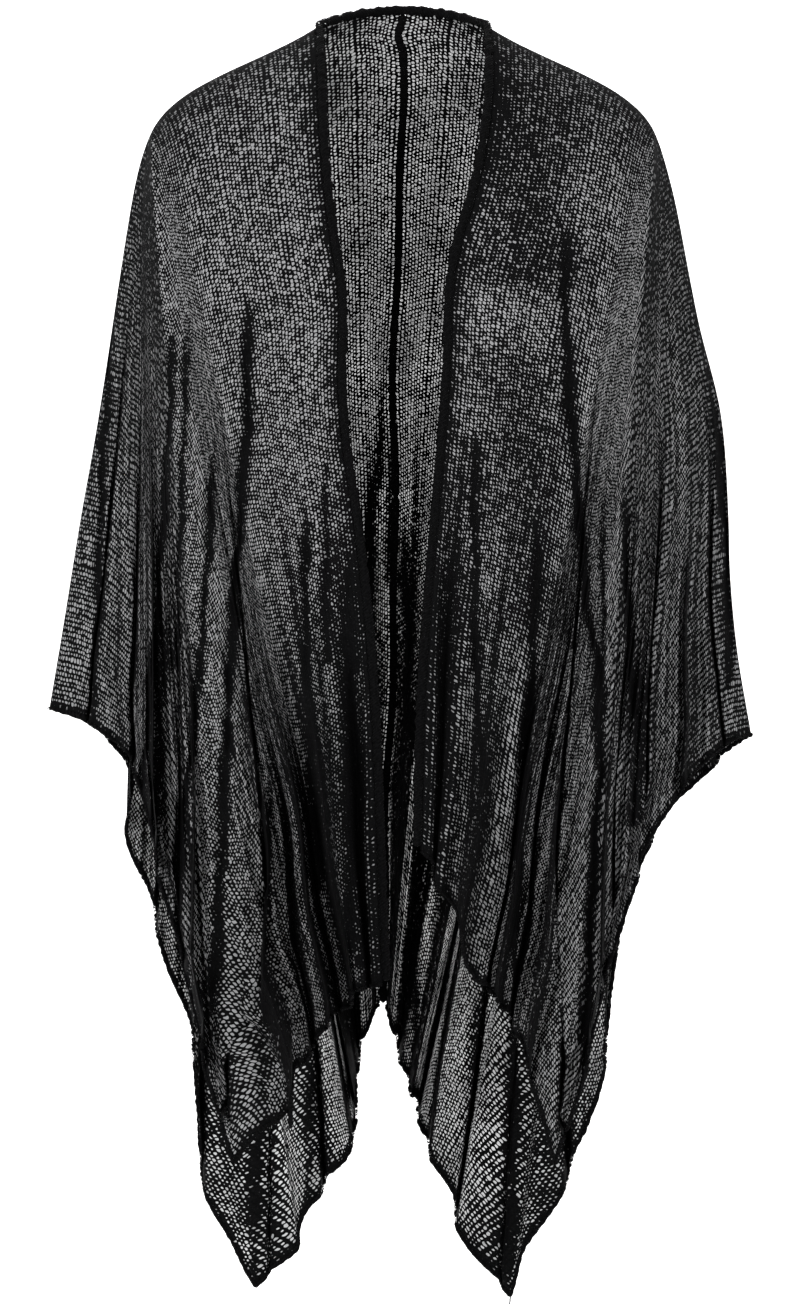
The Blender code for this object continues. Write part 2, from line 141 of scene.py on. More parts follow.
# %% Rows of both rims
Rim = namedtuple("Rim", "share x")
LEFT_RIM = table(
    Rim,
    (0.00, NECK_X), (0.10, 0.0770), (0.15, 0.0745), (0.20, 0.0690), (0.25, 0.0605), (0.30, 0.0495),
    (0.35, 0.0432), (0.45, 0.0402), (0.57, 0.0332), (0.67, 0.0264), (0.85, 0.0175), (1.00, 0.0150),
)
RIGHT_RIM = table(
    Rim,
    (0.00, NECK_X), (0.09, 0.0730), (0.15, 0.0711), (0.20, 0.0680), (0.25, 0.0630), (0.30, 0.0560),
    (0.41, 0.0554), (0.46, 0.0522), (0.52, 0.0445), (0.60, 0.0359), (1.00, 0.0175),
)
print("rim rows:", len(LEFT_RIM), len(RIGHT_RIM))

# %% [markdown]
# ## The bow over the arms
#
# The fold over an arm isn't straight: it hangs in below the shoulder and out again at the elbow. A row
# gives the share of the way down to the sleeve end and how far out the cloth is moved there.

# %% Rows of the bow over the arms
Bow = namedtuple("Bow", "share out")
LEFT_BOW = table(
    Bow,
    (0.00, 0.0), (0.06, -0.003), (0.14, -0.004), (0.32, -0.001), (0.48, 0.008), (0.64, 0.004),
    (0.74, -0.001), (0.86, -0.003), (1.00, 0.0),
)
RIGHT_BOW = table(
    Bow,
    (0.00, 0.0), (0.06, -0.003), (0.14, -0.006), (0.36, -0.008), (0.52, -0.007), (0.68, -0.004),
    (0.86, -0.002), (1.00, 0.0),
)
print("bow rows:", len(LEFT_BOW), len(RIGHT_BOW))

# %% [markdown]
# ## Where the cloth pinches
#
# Hung net gathers in narrow folds with flat cloth between them. A row places one: the place
# around the edge and the share of the drop where it starts, the place at the hem, its half width in
# flat cloth, its way (+1 outwards, -1 into the hollow) and how full it is. Inside a pinch the cloth goes
# in and back and hardly moves sideways, so from the front a pinch is a dark line.
# From the front its dark line is partly this gathered cloth and partly painted shade down the fold.

# %% Pinches placed one by one
Pinch = namedtuple("Pinch", "top_at top_share end_at half way full")
LEFT_FRONT_FOLDS = table(
    Pinch,
    (0.024, 0.44, 0.034, 0.020, -1, 1.0), (0.095, 0.56, 0.118, 0.034, 1, 0.9),
    (0.160, 0.48, 0.225, 0.040, -1, 1.0), (0.235, 0.60, 0.325, 0.042, 1, 0.8),
    (0.300, 0.46, 0.440, 0.046, -1, 1.0), (0.440, 0.50, 0.560, 0.040, 1, 0.8),
    (0.100, 0.20, 0.735, 0.034, -1, 1.0), (0.700, 0.42, 0.850, 0.034, 1, 0.8),
    (0.760, 0.30, 0.950, 0.036, -1, 0.9), (1.040, 0.28, 1.110, 0.038, -1, 1.0),
    (1.240, 0.44, 1.255, 0.028, 1, 0.7), (1.340, 0.24, 1.370, 0.024, -1, 0.9),
)
LEFT_BACK_FOLDS = table(
    Pinch,
    (0.028, 0.34, 0.050, 0.036, -1, 1.0), (0.110, 0.40, 0.155, 0.044, 1, 1.0),
    (0.180, 0.36, 0.275, 0.046, -1, 1.0), (0.260, 0.30, 0.420, 0.046, 1, 1.0),
    (0.400, 0.44, 0.540, 0.030, -1, 1.0), (0.560, 0.40, 0.655, 0.030, 1, 1.0),
    (0.700, 0.40, 0.742, 0.010, 1, 0.9), (0.800, 0.46, 0.880, 0.036, 1, 0.9),
    (0.960, 0.38, 1.030, 0.044, -1, 1.0), (1.140, 0.32, 1.200, 0.046, 1, 0.9),
    (1.330, 0.44, 1.360, 0.034, -1, 0.8), (1.500, 0.30, 1.515, 0.030, 1, 0.9),
)
RIGHT_FRONT_FOLDS = table(
    Pinch,
    (0.030, 0.48, 0.040, 0.026, -1, 1.0), (0.100, 0.44, 0.130, 0.036, 1, 1.0),
    (0.170, 0.58, 0.230, 0.040, -1, 0.9), (0.230, 0.50, 0.330, 0.044, 1, 1.0),
    (0.320, 0.56, 0.450, 0.044, -1, 0.8), (0.440, 0.46, 0.570, 0.042, 1, 1.0),
    (0.110, 0.26, 0.745, 0.034, -1, 1.0), (0.660, 0.34, 0.855, 0.036, 1, 1.0),
    (0.800, 0.42, 0.965, 0.034, -1, 0.8), (1.000, 0.26, 1.100, 0.040, 1, 1.0),
    (1.200, 0.32, 1.250, 0.032, -1, 0.9), (1.330, 0.20, 1.372, 0.024, -1, 1.0),
)
RIGHT_BACK_FOLDS = table(
    Pinch,
    (0.034, 0.36, 0.046, 0.036, -1, 1.0), (0.110, 0.44, 0.150, 0.042, 1, 0.9),
    (0.185, 0.36, 0.255, 0.046, -1, 1.0), (0.265, 0.40, 0.385, 0.056, 1, 1.0),
    (0.420, 0.46, 0.520, 0.032, -1, 0.9), (0.560, 0.44, 0.625, 0.032, 1, 1.0),
    (0.690, 0.40, 0.742, 0.010, 1, 0.9), (0.800, 0.44, 0.870, 0.038, 1, 0.9),
    (0.950, 0.36, 1.020, 0.044, -1, 1.0), (1.130, 0.38, 1.190, 0.046, 1, 1.0),
    (1.335, 0.40, 1.370, 0.036, -1, 0.9), (1.500, 0.32, 1.520, 0.030, 1, 0.8),
)
print("pinches:", len(LEFT_FRONT_FOLDS + LEFT_BACK_FOLDS), len(RIGHT_FRONT_FOLDS + RIGHT_BACK_FOLDS))

# %% [markdown]
# ## Creases
#
# Besides the pinches, the weight of the cloth pulls sharp creases that fall nearly straight down, the
# longest from the front of the armpit. A row gives the layer, the half width, how dark the net is there,
# partly net pressed shut and partly painted shade, how deep the trough is, and the way as seen from the
# front: distance out from the middle, height. Wide, weak rows with no trough are broad patches of
# painted shade on the net. Cloth that is out of sight has some like them.

# %% Creases placed one by one
Crease = namedtuple("Crease", "layer half dark depth path")


def creases(**layers):
    """The rows of both layers as named rows."""
    return tuple(Crease(layer, *row) for layer, rows in layers.items() for row in rows)


# In both tables, rows with no trough depth are broad patches of painted shade; the darkness of the others
# is partly painted shade.
LEFT_CREASES = creases(
    front=(
        (0.0040, 0.95, 0.0070, ((0.141, -0.170), (0.140, -0.268), (0.144, -0.335), (0.152, -0.433),
            (0.158, -0.509), (0.166, -0.549), (0.170, -0.648), (0.164, -0.724), (0.160, -0.827),
            (0.158, -0.900))),
        (0.0026, 0.55, 0.0040, ((0.172, -0.400), (0.172, -0.604))),
        (0.0034, 0.80, 0.0060, ((0.192, -0.390), (0.191, -0.444), (0.195, -0.547), (0.199, -0.600))),
        (0.0090, 0.55, 0.0040, ((0.199, -0.530), (0.204, -0.624), (0.200, -0.690))),
        (0.0034, 0.80, 0.0050, ((0.262, -0.290), (0.273, -0.400), (0.279, -0.465), (0.280, -0.580))),
        (0.0032, 0.75, 0.0050, ((0.062, -0.340), (0.062, -0.547), (0.068, -0.660))),
        (0.0034, 0.85, 0.0060, ((0.117, -0.410), (0.112, -0.547), (0.106, -0.636), (0.100, -0.724),
            (0.096, -0.827))),
        (0.0600, 0.28, 0.0000, ((0.075, -0.010), (0.115, -0.220))),
        (0.0550, 0.20, 0.0000, ((0.095, -0.260), (0.115, -0.520))),
        (0.0200, 0.25, 0.0000, ((0.046, -0.420), (0.034, -0.820))),
    ),
    back=(
        (0.0500, 0.22, 0.0000, ((0.125, -0.900), (0.110, -1.060))),
        (0.0040, 0.90, 0.0070, ((0.097, -0.800), (0.094, -0.961), (0.092, -1.085))),
        (0.0028, 0.60, 0.0050, ((0.066, -0.820), (0.062, -0.890), (0.056, -0.965))),
        (0.0030, 0.65, 0.0050, ((0.010, -0.770), (0.010, -0.945))),
        (0.0026, 0.40, 0.0030, ((0.130, -0.840), (0.130, -0.985))),
        (0.0034, 0.80, 0.0050, ((0.000, -0.420), (0.003, -0.500), (0.006, -0.620))),
        (0.0030, 0.60, 0.0050, ((0.070, -0.300), (0.074, -0.450), (0.080, -0.620))),
        (0.0034, 0.75, 0.0060, ((0.138, -0.210), (0.146, -0.360), (0.156, -0.560), (0.160, -0.700))),
        (0.0028, 0.55, 0.0040, ((0.205, -0.290), (0.216, -0.430), (0.230, -0.550))),
    ),
)
RIGHT_CREASES = creases(
    front=(
        (0.0030, 0.75, 0.0050, ((0.250, -0.250), (0.259, -0.400), (0.264, -0.547), (0.267, -0.610))),
        (0.0032, 0.80, 0.0050, ((0.196, -0.250), (0.204, -0.400), (0.214, -0.547), (0.222, -0.636),
            (0.226, -0.728))),
        (0.0026, 0.60, 0.0040, ((0.184, -0.250), (0.191, -0.422), (0.195, -0.560))),
        (0.0070, 0.55, 0.0040, ((0.203, -0.500), (0.210, -0.624), (0.214, -0.690))),
        (0.0032, 0.80, 0.0050, ((0.161, -0.355), (0.169, -0.488), (0.180, -0.614), (0.190, -0.702),
            (0.193, -0.800))),
        (0.0040, 0.95, 0.0070, ((0.134, -0.230), (0.134, -0.356), (0.144, -0.488), (0.151, -0.614),
            (0.156, -0.724), (0.163, -0.840))),
        (0.0034, 0.85, 0.0060, ((0.084, -0.405), (0.083, -0.547), (0.080, -0.659), (0.072, -0.750))),
        (0.0030, 0.70, 0.0040, ((0.066, -0.365), (0.066, -0.560))),
        (0.0024, 0.55, 0.0030, ((0.114, -0.620), (0.118, -0.820), (0.121, -0.930))),
        (0.0045, 0.65, 0.0040, ((0.045, -0.450), (0.045, -0.640), (0.046, -0.800))),
        (0.0110, 0.35, 0.0040, ((0.166, -0.790), (0.170, -0.920))),
        (0.0220, 0.25, 0.0000, ((0.052, -0.420), (0.040, -0.820))),
    ),
    back=(
        (0.0034, 0.85, 0.0060, ((0.119, -0.800), (0.123, -0.917), (0.129, -1.026), (0.128, -1.085))),
        (0.0030, 0.75, 0.0050, ((0.079, -0.870), (0.081, -0.960), (0.083, -1.030))),
        (0.0500, 0.16, 0.0000, ((0.140, -0.900), (0.140, -1.040))),
        (0.0045, 0.70, 0.0050, ((0.045, -0.700), (0.045, -0.930))),
        (0.0036, 0.75, 0.0050, ((0.016, -0.300), (0.020, -0.370), (0.027, -0.440), (0.029, -0.540))),
        (0.0030, 0.70, 0.0050, ((0.008, -0.300), (0.009, -0.400), (0.012, -0.480))),
        (0.0034, 0.70, 0.0060, ((0.132, -0.240), (0.142, -0.400), (0.150, -0.580), (0.162, -0.760))),
        (0.0028, 0.55, 0.0040, ((0.078, -0.340), (0.084, -0.520), (0.082, -0.640))),
        (0.0028, 0.60, 0.0040, ((0.212, -0.260), (0.222, -0.400), (0.238, -0.540))),
    ),
)
print("creases:", len(LEFT_CREASES), len(RIGHT_CREASES))

# %% [markdown]
# ## Both sides
#
# A side holds its tables and a few shares by which its hang lines give: "sleeve" for lines that run
# outwards over the arm, "rim_end" next to the rim, "front_drop" for the front as a whole, and
# "corner_give" and "corner_round" for the front's corner. The seed picks that side's random draws.

# %% The tables of each side
Side = namedtuple("Side", "name sign front back rim bow front_folds back_folds creases sleeve rim_end "
                          "front_drop corner_give corner_round seed")
LEFT = Side("left", 1, LEFT_FRONT, LEFT_BACK, LEFT_RIM, LEFT_BOW, LEFT_FRONT_FOLDS, LEFT_BACK_FOLDS,
            LEFT_CREASES, sleeve=0.03, rim_end=-0.060, front_drop=0.045, corner_give=0.0,
            corner_round=0.0, seed=3)
RIGHT = Side("right", -1, RIGHT_FRONT, RIGHT_BACK, RIGHT_RIM, RIGHT_BOW, RIGHT_FRONT_FOLDS,
             RIGHT_BACK_FOLDS, RIGHT_CREASES, sleeve=-0.015, rim_end=0.057, front_drop=0.078,
             corner_give=0.046, corner_round=0.014, seed=8)
BACK_DROP = 0.011
SIDES = (LEFT, RIGHT)
print("sides:", [(side.name, "gives", side.sleeve, side.rim_end, side.front_drop) for side in SIDES])

# %% [markdown]
# ## From flat cloth to hang lines
#
# A hang line starts on the shoulder line, or at the shoulder point for the cloth over the arm, and keeps
# its flat length. Sideways and front to back it heads for its place on the lower edge, and what is left
# of its length it falls. This gives the points of the hem for free, where a sculpted shape would need
# each of them drawn.

# %% Small helpers for curves
def through(knots, values, at):
    """A smooth curve through (knot, value) pairs: on each stretch the cubic whose slope at a knot is
    the slope of the values round it."""
    slopes = np.gradient(values, knots)
    i = np.clip(np.searchsorted(knots, at, side="right") - 1, 0, len(knots) - 2)
    step = knots[i + 1] - knots[i]
    u = (at - knots[i]) / step
    start = (2 * u**3 - 3 * u**2 + 1) * values[i] + (u**3 - 2 * u**2 + u) * step * slopes[i]
    end = (3 * u**2 - 2 * u**3) * values[i + 1] + (u**3 - u**2) * step * slopes[i + 1]
    return start + end


def smoothstep(u):
    """0 up to 0, 1 from 1 on, and the cubic 3u^2 - 2u^3 between."""
    u = np.clip(u, 0, 1)
    return u * u * (3 - 2 * u)


def unit(vectors):
    """The same ways at length 1."""
    return vectors / np.maximum(np.linalg.norm(vectors, axis=-1, keepdims=True), 1e-9)


# %% The flat cloth under every hang line
def flat_lines(around):
    """Both ends of the hang lines on the flat cloth: across from the seam, down from the shoulder. The
    lines from neck and shoulder run straight down, and the others leave the shoulder point."""
    front = around <= FRONT_AROUND
    from_edge = np.where(front, around, AROUND - around)
    first = np.where(front, NECK_WIDTH, 0.0)
    hem = PANEL_WIDTH - first
    length = np.where(front, FRONT_LENGTH, BACK_LENGTH)
    end_across = first + np.minimum(from_edge, hem)
    end_down = length - np.maximum(from_edge - hem, 0)
    top_across = np.minimum(end_across, POLE)
    top_down = NECK_SCOOP * (1 - np.minimum(top_across / NECK_WIDTH, 1) ** 2)
    return top_across, top_down, end_across, end_down


def shoulder_point(across):
    """Where a hang line starts in space: a parabola behind the neck, then the shoulder line, which
    follows its table of slopes."""
    from_neck, step = np.linspace(0, SHOULDER_WIDTH, 67, retstep=True)
    slope = np.radians(np.interp(from_neck, *np.array(SHOULDER_SLOPES).T))
    x = NECK_X + np.concatenate([[0], np.cumsum(np.cos(slope[:-1]) * step)])
    z = NECK_Z - np.concatenate([[0], np.cumsum(np.sin(slope[:-1]) * step)])
    out = across - NECK_WIDTH
    behind = np.clip(across / NECK_WIDTH, 0, 1)
    neck_x = SEAM_HALF + (NECK_X - SEAM_HALF) * behind
    top_x = np.where(out < 0, neck_x, np.interp(out, from_neck, x))
    top_z = np.where(out < 0, NECK_Z * behind**2, np.interp(out, from_neck, z))
    return top_x, NAPE_Y * (1 - behind**2), top_z


# %% Pinches as a field over the cloth
WINDOW_TOP = 0.80
WINDOW_EDGE = 0.35
TENT_HEIGHT = 1.05
TENT_ROUNDING = 0.012
LINE_START = 0.07
LINE_GROWTH = 0.19
GATHERS_BY, LINE_SHOWS_BY = 1.5, 3
STANDS_LATER = 1.4


def pinched(side, around, share):
    """Three arrays over lines by steps: how much of the cloth is taken into pinches, how far it stands
    out there, and the dark line in the middle, partly net pressed shut and partly painted shade in the
    fold. A pinch is a flat-topped window round its middle, which runs straight from its top to its hem
    place, times its growth down the cloth. It stands out as a tent of that width, later than it gathers,
    and its crease widens from a thin line."""
    taken = np.zeros((len(around), len(share)))
    stands = np.zeros_like(taken)
    crease = np.zeros_like(taken)
    folds = [(f.top_at, f.end_at, f, -1) for f in side.front_folds]
    folds += [(AROUND - f.top_at, AROUND - f.end_at, f, 1) for f in side.back_folds]
    for top, end, fold, outwards in folds:
        u = np.clip((share - fold.top_share) / (1 - fold.top_share), 0, 1)
        middle = top + (end - top) * u
        grown = fold.full * smoothstep(u * GATHERS_BY) * (share > fold.top_share)
        away = np.abs(around[:, None] - middle[None, :]) / fold.half
        taken += grown * (1 - smoothstep((away - WINDOW_TOP) / WINDOW_EDGE))
        tent = np.clip(TENT_HEIGHT - np.sqrt(away**2 + TENT_ROUNDING), 0, None)
        stands += outwards * fold.way * fold.half * tent * grown**STANDS_LATER
        width = LINE_START + LINE_GROWTH * grown
        crease += fold.full * np.exp(-((away / width) ** 2)) * smoothstep(u * LINE_SHOWS_BY)
    return np.clip(taken, 0, 1), stands, np.clip(crease, 0, 1)


# %% Creases as a field over the cloth
FADE_IN = 0.06
FADE_OUT = 0.03
TROUGH_WIDTH = 1.5
Wave = namedtuple("Wave", "height turns")
SLOW_WAVER, QUICK_WAVER = Wave(0.0010, 70), Wave(0.0006, 190)
WIDTH_WAVE = Wave(0.25, 45)


def creased(side, x, z, is_front):
    """Two arrays over the points: how far the creases close and darken the net, partly net pressed shut
    and partly painted shade, and how deep it dips.
    Both are bells of the distance from the crease's way in front view, which wavers by 1.6 mm at
    most, and fade in at the top and out at the bottom. The trough is wider than the dark line."""
    chance = np.random.default_rng(side.seed + 90)
    dark = np.zeros_like(x)
    dip = np.zeros_like(x)
    for crease in side.creases:
        phase, uneven = chance.uniform(0, 6.28, 2)
        waver = SLOW_WAVER.height * np.sin(z * SLOW_WAVER.turns + phase)
        waver = waver + QUICK_WAVER.height * np.sin(z * QUICK_WAVER.turns + uneven)
        away = np.full(x.shape, np.inf)
        for (x0, z0), (x1, z1) in zip(crease.path[:-1], crease.path[1:]):
            run, rise = x1 - x0, z1 - z0
            along = np.clip(((x - x0) * run + (z - z0) * rise) / (run**2 + rise**2), 0, 1)
            off = np.hypot(x + waver - x0 - along * run, z - z0 - along * rise)
            away = np.minimum(away, off)
        top, bottom = crease.path[0][1], crease.path[-1][1]
        shown = smoothstep((top - z) / FADE_IN) * smoothstep((z - bottom) / FADE_OUT + 1)
        shown = shown * (is_front == (crease.layer == "front"))
        half = crease.half * (0.8 + WIDTH_WAVE.height * np.sin(z * WIDTH_WAVE.turns + uneven))
        dark += crease.dark * shown * np.exp(-((away / half) ** 2))
        dip += crease.depth * shown * np.exp(-((away / (TROUGH_WIDTH * half)) ** 2))
    return np.clip(dark, 0, 1), dip


# %% Small ripples between the pinches
RIPPLE_DEPTH = 0.0036
CORNER_CALM = 0.10
CALM_LEAST = 0.3
WAVES = ((0.031, 0.020), (0.043, -0.030), (0.057, 0.035))
WAVE_MEAN = 1.7
WANDER = 0.014
FLAT_HEM = (0.30, 0.86)
FLAT_HEM_EDGE = 0.10
FLAT_HEM_CALM = 0.85
RIPPLES_FROM, RIPPLES_GROW = 0.08, 0.55


def rippled(side, around, share):
    """Shallow, uneven ripples front to back, as an array over lines by steps: three waves along the
    edge, each with its length and its drift sideways on the way down. They grow with the drop and fade
    out near the corners of the cloth and along the back hem's middle, where it hangs flat."""
    corners = np.delete(CORNERS, SLEEVE_END)
    calm = np.min(np.abs(around[:, None] - corners), axis=1)
    calm = (CALM_LEAST + (1 - CALM_LEAST) * smoothstep(calm / CORNER_CALM))[:, None]
    chance = np.random.default_rng(side.seed + 50)
    waves = np.zeros((len(around), len(share)))
    for length, drift in WAVES:
        phase = chance.uniform(0, 6.28)
        slow = WANDER * np.sin(around * chance.uniform(9, 14) + phase)
        waves += np.sin(2 * np.pi * ((around + slow)[:, None] + drift * share) / length + phase)
    from_seam = (AROUND - around)[:, None]
    first, last = (smoothstep((from_seam - place) / FLAT_HEM_EDGE) for place in FLAT_HEM)
    calm = calm * (1 - FLAT_HEM_CALM * first * (1 - last))
    return RIPPLE_DEPTH / WAVE_MEAN * waves * calm * smoothstep((share - RIPPLES_FROM) / RIPPLES_GROW)


SEAM_KINK, KINK_AT, KINK_REACH = -0.0042, 0.025, 0.012
SEAM_WAVES = (Wave(0.0022, 1.9), Wave(0.0012, 4.7))
SEAM_PHASES = (0.1, 0.0)
SEAM_STEADY = 0.12


def seam_waver(share):
    """How far the seam wanders sideways on its way down: a small kink just below the neck and two slow
    waves, none at the neck."""
    kink = SEAM_KINK * np.exp(-((share - KINK_AT) / KINK_REACH) ** 2)
    slow = sum(wave.height * np.sin(2 * np.pi * (wave.turns * share + phase))
               for wave, phase in zip(SEAM_WAVES, SEAM_PHASES))
    return kink + slow * smoothstep(share / SEAM_STEADY)


# %% The hang itself
STEPS = 320
HEM_SMOOTHING = 0.55
CORNER_PLACE = 0.60
CORNER_REACH = 0.06
CORNER_TIP = 0.025
TAKEN_IN = 0.93
IN_PINCH, IN_CREASE, AT_HEM, AT_RIM = 0.17, 0.55, 0.8, 0.7
HEM_REACH = 0.0022
RIM_REACH = 0.006
SEAM_REACH = 0.03
LEAST_FALL = 0.01
MOST_DENSE = 1.2


def places_between(around, taken):
    """The place on the lower edge that every point heads for: the cloth in pinches is taken out, and
    the rest is spread evenly again between the corners."""
    kept = np.cumsum((1 - TAKEN_IN * taken) * np.gradient(around)[:, None], axis=0)
    place = np.repeat(around[:, None], taken.shape[1], axis=1)
    for low, high in zip(CORNERS[:-1], CORNERS[1:]):
        inside = np.flatnonzero((around >= low) & (around <= high))
        first, last = kept[inside[0]], kept[inside[-1]]
        spread = (kept[inside] - first) / (last - first)
        place[inside] = around[inside[0]] + spread * (around[inside[-1]] - around[inside[0]])
    return place


def line_give(side, around, length, outward, near_rim, hem_place):
    """How much longer or shorter a hang line is as worn than on the cut: its side's shares by the way
    it runs, the part that keeps the hem a smooth line through a pinch, and two bells at the front's
    corner."""
    down = np.where(around <= FRONT_AROUND, side.front_drop, BACK_DROP)
    give = 1 + side.sleeve * outward**2 + down * (1 - outward**2) + side.rim_end * near_rim
    before = np.exp(-(((around - CORNER_PLACE) / CORNER_REACH) ** 2))
    tip = np.exp(-(((around - CORNERS[FRONT_CORNER]) / CORNER_TIP) ** 2))
    smooth = np.interp(hem_place, around, length) / length
    corner = side.corner_give * before - side.corner_round * tip
    return give * (1 + HEM_SMOOTHING * (smooth - 1)) * (1 + corner)


def drape(side, around):
    """Hang lines as an array of lines by steps by (x, y, z), their flat places, and a field of density
    and shade: the net is closer in pinches, at the rim and at the hem, and darker in creases, partly net
    pressed shut and partly painted shade, and in broad patches of painted shade. Sideways and front to
    back a line heads for its place on the lower edge, and follows rim, bow and seam. Down, each small
    step falls by what is left of its length."""
    pins = np.array(side.front + tuple(side.back)[::-1][1:])
    at = np.where(np.arange(len(pins)) < len(side.front), pins[:, 0], AROUND - pins[:, 0])
    top_across, top_down, end_across, end_down = flat_lines(around)
    length = np.hypot(end_across - top_across, end_down - top_down)
    outward = (end_across - top_across) / length
    top_x, top_y, top_z = shoulder_point(top_across)
    share = np.linspace(0, 1, STEPS + 1)

    taken, stands, crease = pinched(side, around, share)
    hem_away = length[:, None] * (1 - share)
    rim_away = np.where(around <= FRONT_AROUND, end_across - NECK_WIDTH, 1.0)[:, None]
    # closer net in pinches, at the hem and at the rim; the pinch line and the creases are partly net
    # pressed shut and partly painted shade
    dense = IN_PINCH * taken + IN_CREASE * crease + AT_HEM * np.exp(-hem_away / HEM_REACH)
    dense = dense + AT_RIM * np.exp(-rim_away / RIM_REACH)

    place = places_between(around, taken)
    end_x = through(at, pins[:, 1], place.ravel()).reshape(place.shape)
    end_y = through(at, pins[:, 2], place.ravel()).reshape(place.shape)
    near_rim = np.clip(1 - (top_across - NECK_WIDTH) / SHOULDER_WIDTH, 0, 1)
    near_rim = np.where(around <= FRONT_AROUND, near_rim, 0)
    give = line_give(side, around, length, outward, near_rim, place[:, -1])
    run = (length * give)[:, None] * share
    rim = dict(zip(Rim._fields, np.array(side.rim).T))
    rim_swing = through(rim["share"], rim["x"], share) - np.interp(share, (0, 1), rim["x"][[0, -1]])
    spread = SHOULDER_SPREAD * SHOULDER_REACH * outward[:, None]
    start = top_x[:, None]
    x = start + spread * (1 - np.exp(-run / SHOULDER_REACH)) + (end_x - start - spread) * share
    x = x + near_rim[:, None] * rim_swing
    bow = dict(zip(Bow._fields, np.array(side.bow).T))
    x = x + outward[:, None] ** 2 * through(bow["share"], bow["out"], share)
    near_seam = np.where(around > FRONT_AROUND, np.exp(-top_across / SEAM_REACH), 0)[:, None]
    x = x + side.sign * near_seam * seam_waver(share)
    fan = np.where(top_across >= POLE - 1e-6, 0.0, 1.0)[:, None]
    y = top_y[:, None] + (end_y - top_y[:, None]) * (1 - np.exp(-run / CHEST_REACH))
    y = y + (stands + rippled(side, around, share)) * (fan + (1 - fan) * share)
    steps = np.diff(run, axis=1)
    sideways = np.diff(x, axis=1) ** 2 + np.diff(y, axis=1) ** 2
    fall = np.sqrt(np.maximum(steps**2 - sideways, LEAST_FALL * steps**2))
    z = top_z[:, None] - np.concatenate([np.zeros((len(around), 1)), np.cumsum(fall, axis=1)], axis=1)
    is_front = (around <= FRONT_AROUND)[:, None]
    # the creases close and darken the net: partly net pressed shut, partly painted shade, and broad
    # patches of painted shade
    crushed_and_shaded, dip = creased(side, x, z, is_front)
    dense = np.clip(dense + crushed_and_shaded, 0, MOST_DENSE)
    y = y + np.where(is_front, dip, -dip)
    flat = np.stack([
        top_across[:, None] + (end_across - top_across)[:, None] * share,
        top_down[:, None] + (end_down - top_down)[:, None] * share,
    ], axis=2)
    return np.stack([side.sign * x, y, z], axis=2), flat, dense


# %% Lines and rows of the cloth
LINES = 740
ROWS = 124
ROW_CROWDING = 1.15


def cloth_grid(side):
    """The cloth's grid: lines evenly round the lower edge, with one at every corner, and rows that
    are closer together near the shoulder."""
    parts = [np.linspace(low, high, int(LINES * (high - low) / AROUND), endpoint=False)
             for low, high in zip(CORNERS[:-1], CORNERS[1:])]
    around = np.append(np.concatenate(parts), AROUND)
    places, flat, dense = drape(side, around)
    rows = np.unique(np.round(STEPS * np.linspace(0, 1, ROWS + 1) ** ROW_CROWDING).astype(int))
    front = around <= FRONT_AROUND
    flat_side = np.where(front, -1.0, 1.0)[:, None] * np.ones(len(rows))
    return around, places[:, rows], flat[:, rows], flat_side, dense[:, rows]


def surface_area(grid):
    """The area of a grid's quads, each as two triangles."""
    a, b, c, d = grid[:-1, :-1], grid[:-1, 1:], grid[1:, 1:], grid[1:, :-1]
    one = np.linalg.norm(np.cross(b - a, c - a), axis=2)
    other = np.linalg.norm(np.cross(c - a, d - a), axis=2)
    return 0.5 * float(one.sum() + other.sum())


cloth = {side.name: cloth_grid(side) for side in SIDES}
for side in SIDES:
    around, places = cloth[side.name][:2]
    print(side.name, "grid", places.shape, "area", round(surface_area(places), 3),
          "low", round(float(places[..., 2].min()), 3))

# %% [markdown]
# ## The knit as a shader
#
# The real net is an openwork of thin black yarn: columns of cells about 4.3 mm wide and 3.3 mm high,
# uneven, with a ladder of wider cells now and then. Real holes in the mesh would need millions of
# faces, and a picture would blur, so a node group draws the cells from the cloth's flat map, as an
# alpha mask and a height for bump. The grain then turns over the arms as it does on a real stole.

# %% A node group for the net
def new_group(name, inputs, outputs):
    """An empty shader node group with named sockets: inputs are (name, kind, default)."""
    group = bpy.data.node_groups.new(name, "ShaderNodeTree")
    for label, kind, default in inputs:
        socket = group.interface.new_socket(label, in_out="INPUT", socket_type=kind)
        if default is not None:
            socket.default_value = default
    for label in outputs:
        group.interface.new_socket(label, in_out="OUTPUT", socket_type="NodeSocketFloat")
    return group, group.nodes.new("NodeGroupInput"), group.nodes.new("NodeGroupOutput")


def math(tree, operation, one, two=None, three=None, clamp=False):
    """One Math node: numbers are set on it, sockets are linked to it."""
    node = tree.nodes.new("ShaderNodeMath")
    node.operation = operation
    node.use_clamp = clamp
    for index, value in enumerate((one, two, three)):
        if value is None:
            continue
        if isinstance(value, (int, float)):
            node.inputs[index].default_value = value
        else:
            tree.links.new(value, node.inputs[index])
    return node.outputs[0]


def noise(tree, vector, scale, detail=2.0):
    """A Noise Texture node read at the vector, with about this many bumps a metre."""
    node = tree.nodes.new("ShaderNodeTexNoise")
    node.inputs["Scale"].default_value = scale
    node.inputs["Detail"].default_value = detail
    tree.links.new(vector, node.inputs["Vector"])
    return node


def swayed(tree, value, amount, base):
    """The base plus the amount times how far a value between 0 and 1 is from its middle."""
    return math(tree, "MULTIPLY_ADD", math(tree, "SUBTRACT", value, 0.5), amount, base)


def separated(tree, kind, vector):
    """The parts of a vector or colour, from a Separate node of this kind."""
    node = tree.nodes.new(kind)
    tree.links.new(vector, node.inputs[0])
    return node.outputs


def pair(tree, first, second=None):
    """A vector of one or two values."""
    node = tree.nodes.new("ShaderNodeCombineXYZ")
    tree.links.new(first, node.inputs[0])
    if second is not None:
        tree.links.new(second, node.inputs[1])
    return node.outputs[0]


